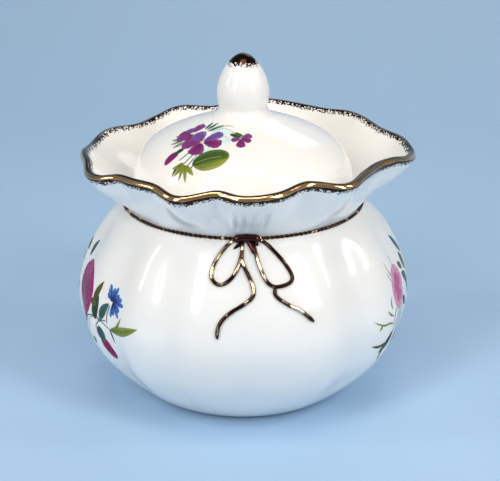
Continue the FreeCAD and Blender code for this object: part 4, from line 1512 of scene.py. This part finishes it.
# ---- The studio -----------------------------------------------------------------------------------
@dataclass
class Studio:
    """A plain pale floor that sweeps up behind, soft lights and the camera. Metres and degrees."""

    aim: tuple = (0.0, 0.0, 0.052)
    distance: float = 0.45
    elevation: float = 19.7
    focal_share: float = 2.7
    offset: Pair = (0.014, -0.015)
    floor_colour: Colour = (0.42, 0.62, 0.86)
    light_colour: Colour = (1.0, 0.955, 0.895)
    room_colour: Colour = (1.0, 0.96, 0.91)
    room_strength: float = 0.20
    # The floor: half its width, how far back it goes, how high the backdrop is and how it sweeps up.
    half_width: float = 2.0
    back: float = 1.0
    backdrop: float = 1.6
    sweep: float = 0.7
    sweep_steps: int = 24
    # Each light: azimuth, elevation, distance, width, height, power.
    lights: tuple = (
        (-38.0, 34.0, 0.9, 0.22, 0.64, 3.4),
        (48.0, 32.0, 0.9, 0.20, 0.58, 3.2),
        (-80.0, 28.0, 0.9, 0.12, 0.50, 1.1),
        (84.0, 32.0, 0.9, 0.12, 0.44, 1.0),
        (4.0, 76.0, 0.9, 0.50, 0.35, 1.7),
        (168.0, 40.0, 1.1, 0.70, 0.35, 1.5))

    def build(self) -> None:
        """Set up the floor, lights, surroundings and camera."""
        self.floor()
        for i, light in enumerate(self.lights):
            self.softbox(f"softbox_{i}", *light)
        self.surroundings()
        self.camera()

    def toward(self, azimuth: float, elevation: float, distance: float) -> Vector:
        """Find the place at a direction and distance from the aim, with azimuth 0 in front.

        Args:
            azimuth: degrees round from the front.
            elevation: degrees above level.
            distance: metres from the aim.

        Returns:
            The place, in metres.
        """
        turn, rise = math.radians(azimuth), math.radians(elevation)
        out = Vector((math.sin(turn) * math.cos(rise), -math.cos(turn) * math.cos(rise), math.sin(rise)))
        return Vector(self.aim) + out * distance

    def look(self, thing: bpy.types.Object, place: Vector) -> None:
        """Put a light or camera at a place, looking at the aim.

        Args:
            thing: the light or camera.
            place: where it goes, in metres.
        """
        thing.location = place
        thing.rotation_euler = (Vector(self.aim) - place).to_track_quat("-Z", "Y").to_euler()
        bpy.context.scene.collection.objects.link(thing)

    def softbox(self, name: str, azimuth: float, elevation: float, distance: float, width: float,
                height: float, power: float) -> None:
        """Hang a rectangular softbox that faces the bowl.

        Args:
            name: the light's name.
            azimuth: degrees round from the front.
            elevation: degrees above level.
            distance: metres from the aim.
            width: metres.
            height: metres.
            power: watts.
        """
        data = bpy.data.lights.new(name, "AREA")
        data.shape = "RECTANGLE"
        data.size, data.size_y, data.energy = width, height, power
        data.color = self.light_colour
        self.look(bpy.data.objects.new(name, data), self.toward(azimuth, elevation, distance))

    def floor(self) -> None:
        """Make a floor that curves up into a backdrop."""
        bm = bmesh.new()
        half, back = self.half_width, self.back
        side = ((-half, 0.0), (back, 0.0), (back, self.backdrop))
        rail = [bm.verts.new((-half, y, z)) for y, z in side]
        rail_edges = [bm.edges.new(pair) for pair in zip(rail, rail[1:])]
        swept = bmesh.ops.extrude_edge_only(bm, edges=rail_edges)["geom"]
        bmesh.ops.translate(bm, vec=(2 * half, 0, 0),
                            verts=[v for v in swept if isinstance(v, bmesh.types.BMVert)])
        corner = [e for e in bm.edges if all(abs(v.co.y - back) + abs(v.co.z) < 1e-6 for v in e.verts)]
        bmesh.ops.bevel(bm, geom=corner, offset=self.sweep, offset_type="OFFSET",
                        segments=self.sweep_steps, profile=0.5, affect="EDGES", material=-1)
        bmesh.ops.recalc_face_normals(bm, faces=bm.faces[:])
        piece = finish_mesh(bm, "studio_floor")
        shader = Shader("floor_paper")
        shade = shader.mix(shader.noise(600.0, 1.0), self.floor_colour,
                           tuple(c * 0.97 for c in self.floor_colour))
        piece.data.materials.append(shader.dress(Base_Color=shade, Roughness=0.6))

    def surroundings(self) -> None:
        """Fill the room with dim neutral light."""
        world = bpy.data.worlds.new("room")
        world.use_nodes = True
        glow = world.node_tree.nodes["Background"].inputs
        glow["Color"].default_value = (*self.room_colour, 1.0)
        glow["Strength"].default_value = self.room_strength
        bpy.context.scene.world = world

    def camera(self) -> None:
        """Set the camera a little above the bowl, at the front."""
        data = bpy.data.cameras.new("camera")
        data.lens = data.sensor_width * self.focal_share
        data.shift_x, data.shift_y = self.offset
        data.clip_start = 0.01
        camera = bpy.data.objects.new("camera", data)
        self.look(camera, self.toward(0.0, self.elevation, self.distance))
        bpy.context.scene.camera = camera


def main() -> None:
    """Build every sub-assembly in order and report each piece."""
    logging.basicConfig(level=logging.INFO, format="%(message)s")
    bpy.context.scene.view_settings.view_transform = "Standard"
    Studio().build()
    bowl = Bowl()
    pieces = [bowl.build()]
    skin = Skin(pieces[0])
    # The relief's gold has a cream painted highlight on the rolls' crests, with large random worn
    # patches. The knot's gold is painted near black as painted shade under the collar.
    relief_gold = GoldFilm(light=(0.88, 0.66, 0.45), wear=3.4).material("relief_gold")
    knot_painted_shade = GoldFilm(light=(0.085, 0.030, 0.030), dark=(0.03, 0.010, 0.012)).material("knot_painted_shade")
    pieces += Drawstring(skin, bowl.form, relief_gold, knot_painted_shade).build()
    lid = Lid().build()
    ink = print_material()
    pieces += lid + [lid_violets(Skin(lid[0])).build(ink), left_bouquet(skin).build(ink),
                     right_spray(skin).build(ink)]
    for piece in pieces:
        log.info("%s: %d faces", piece.name, len(piece.data.polygons))


if __name__ == "__main__":
    main()
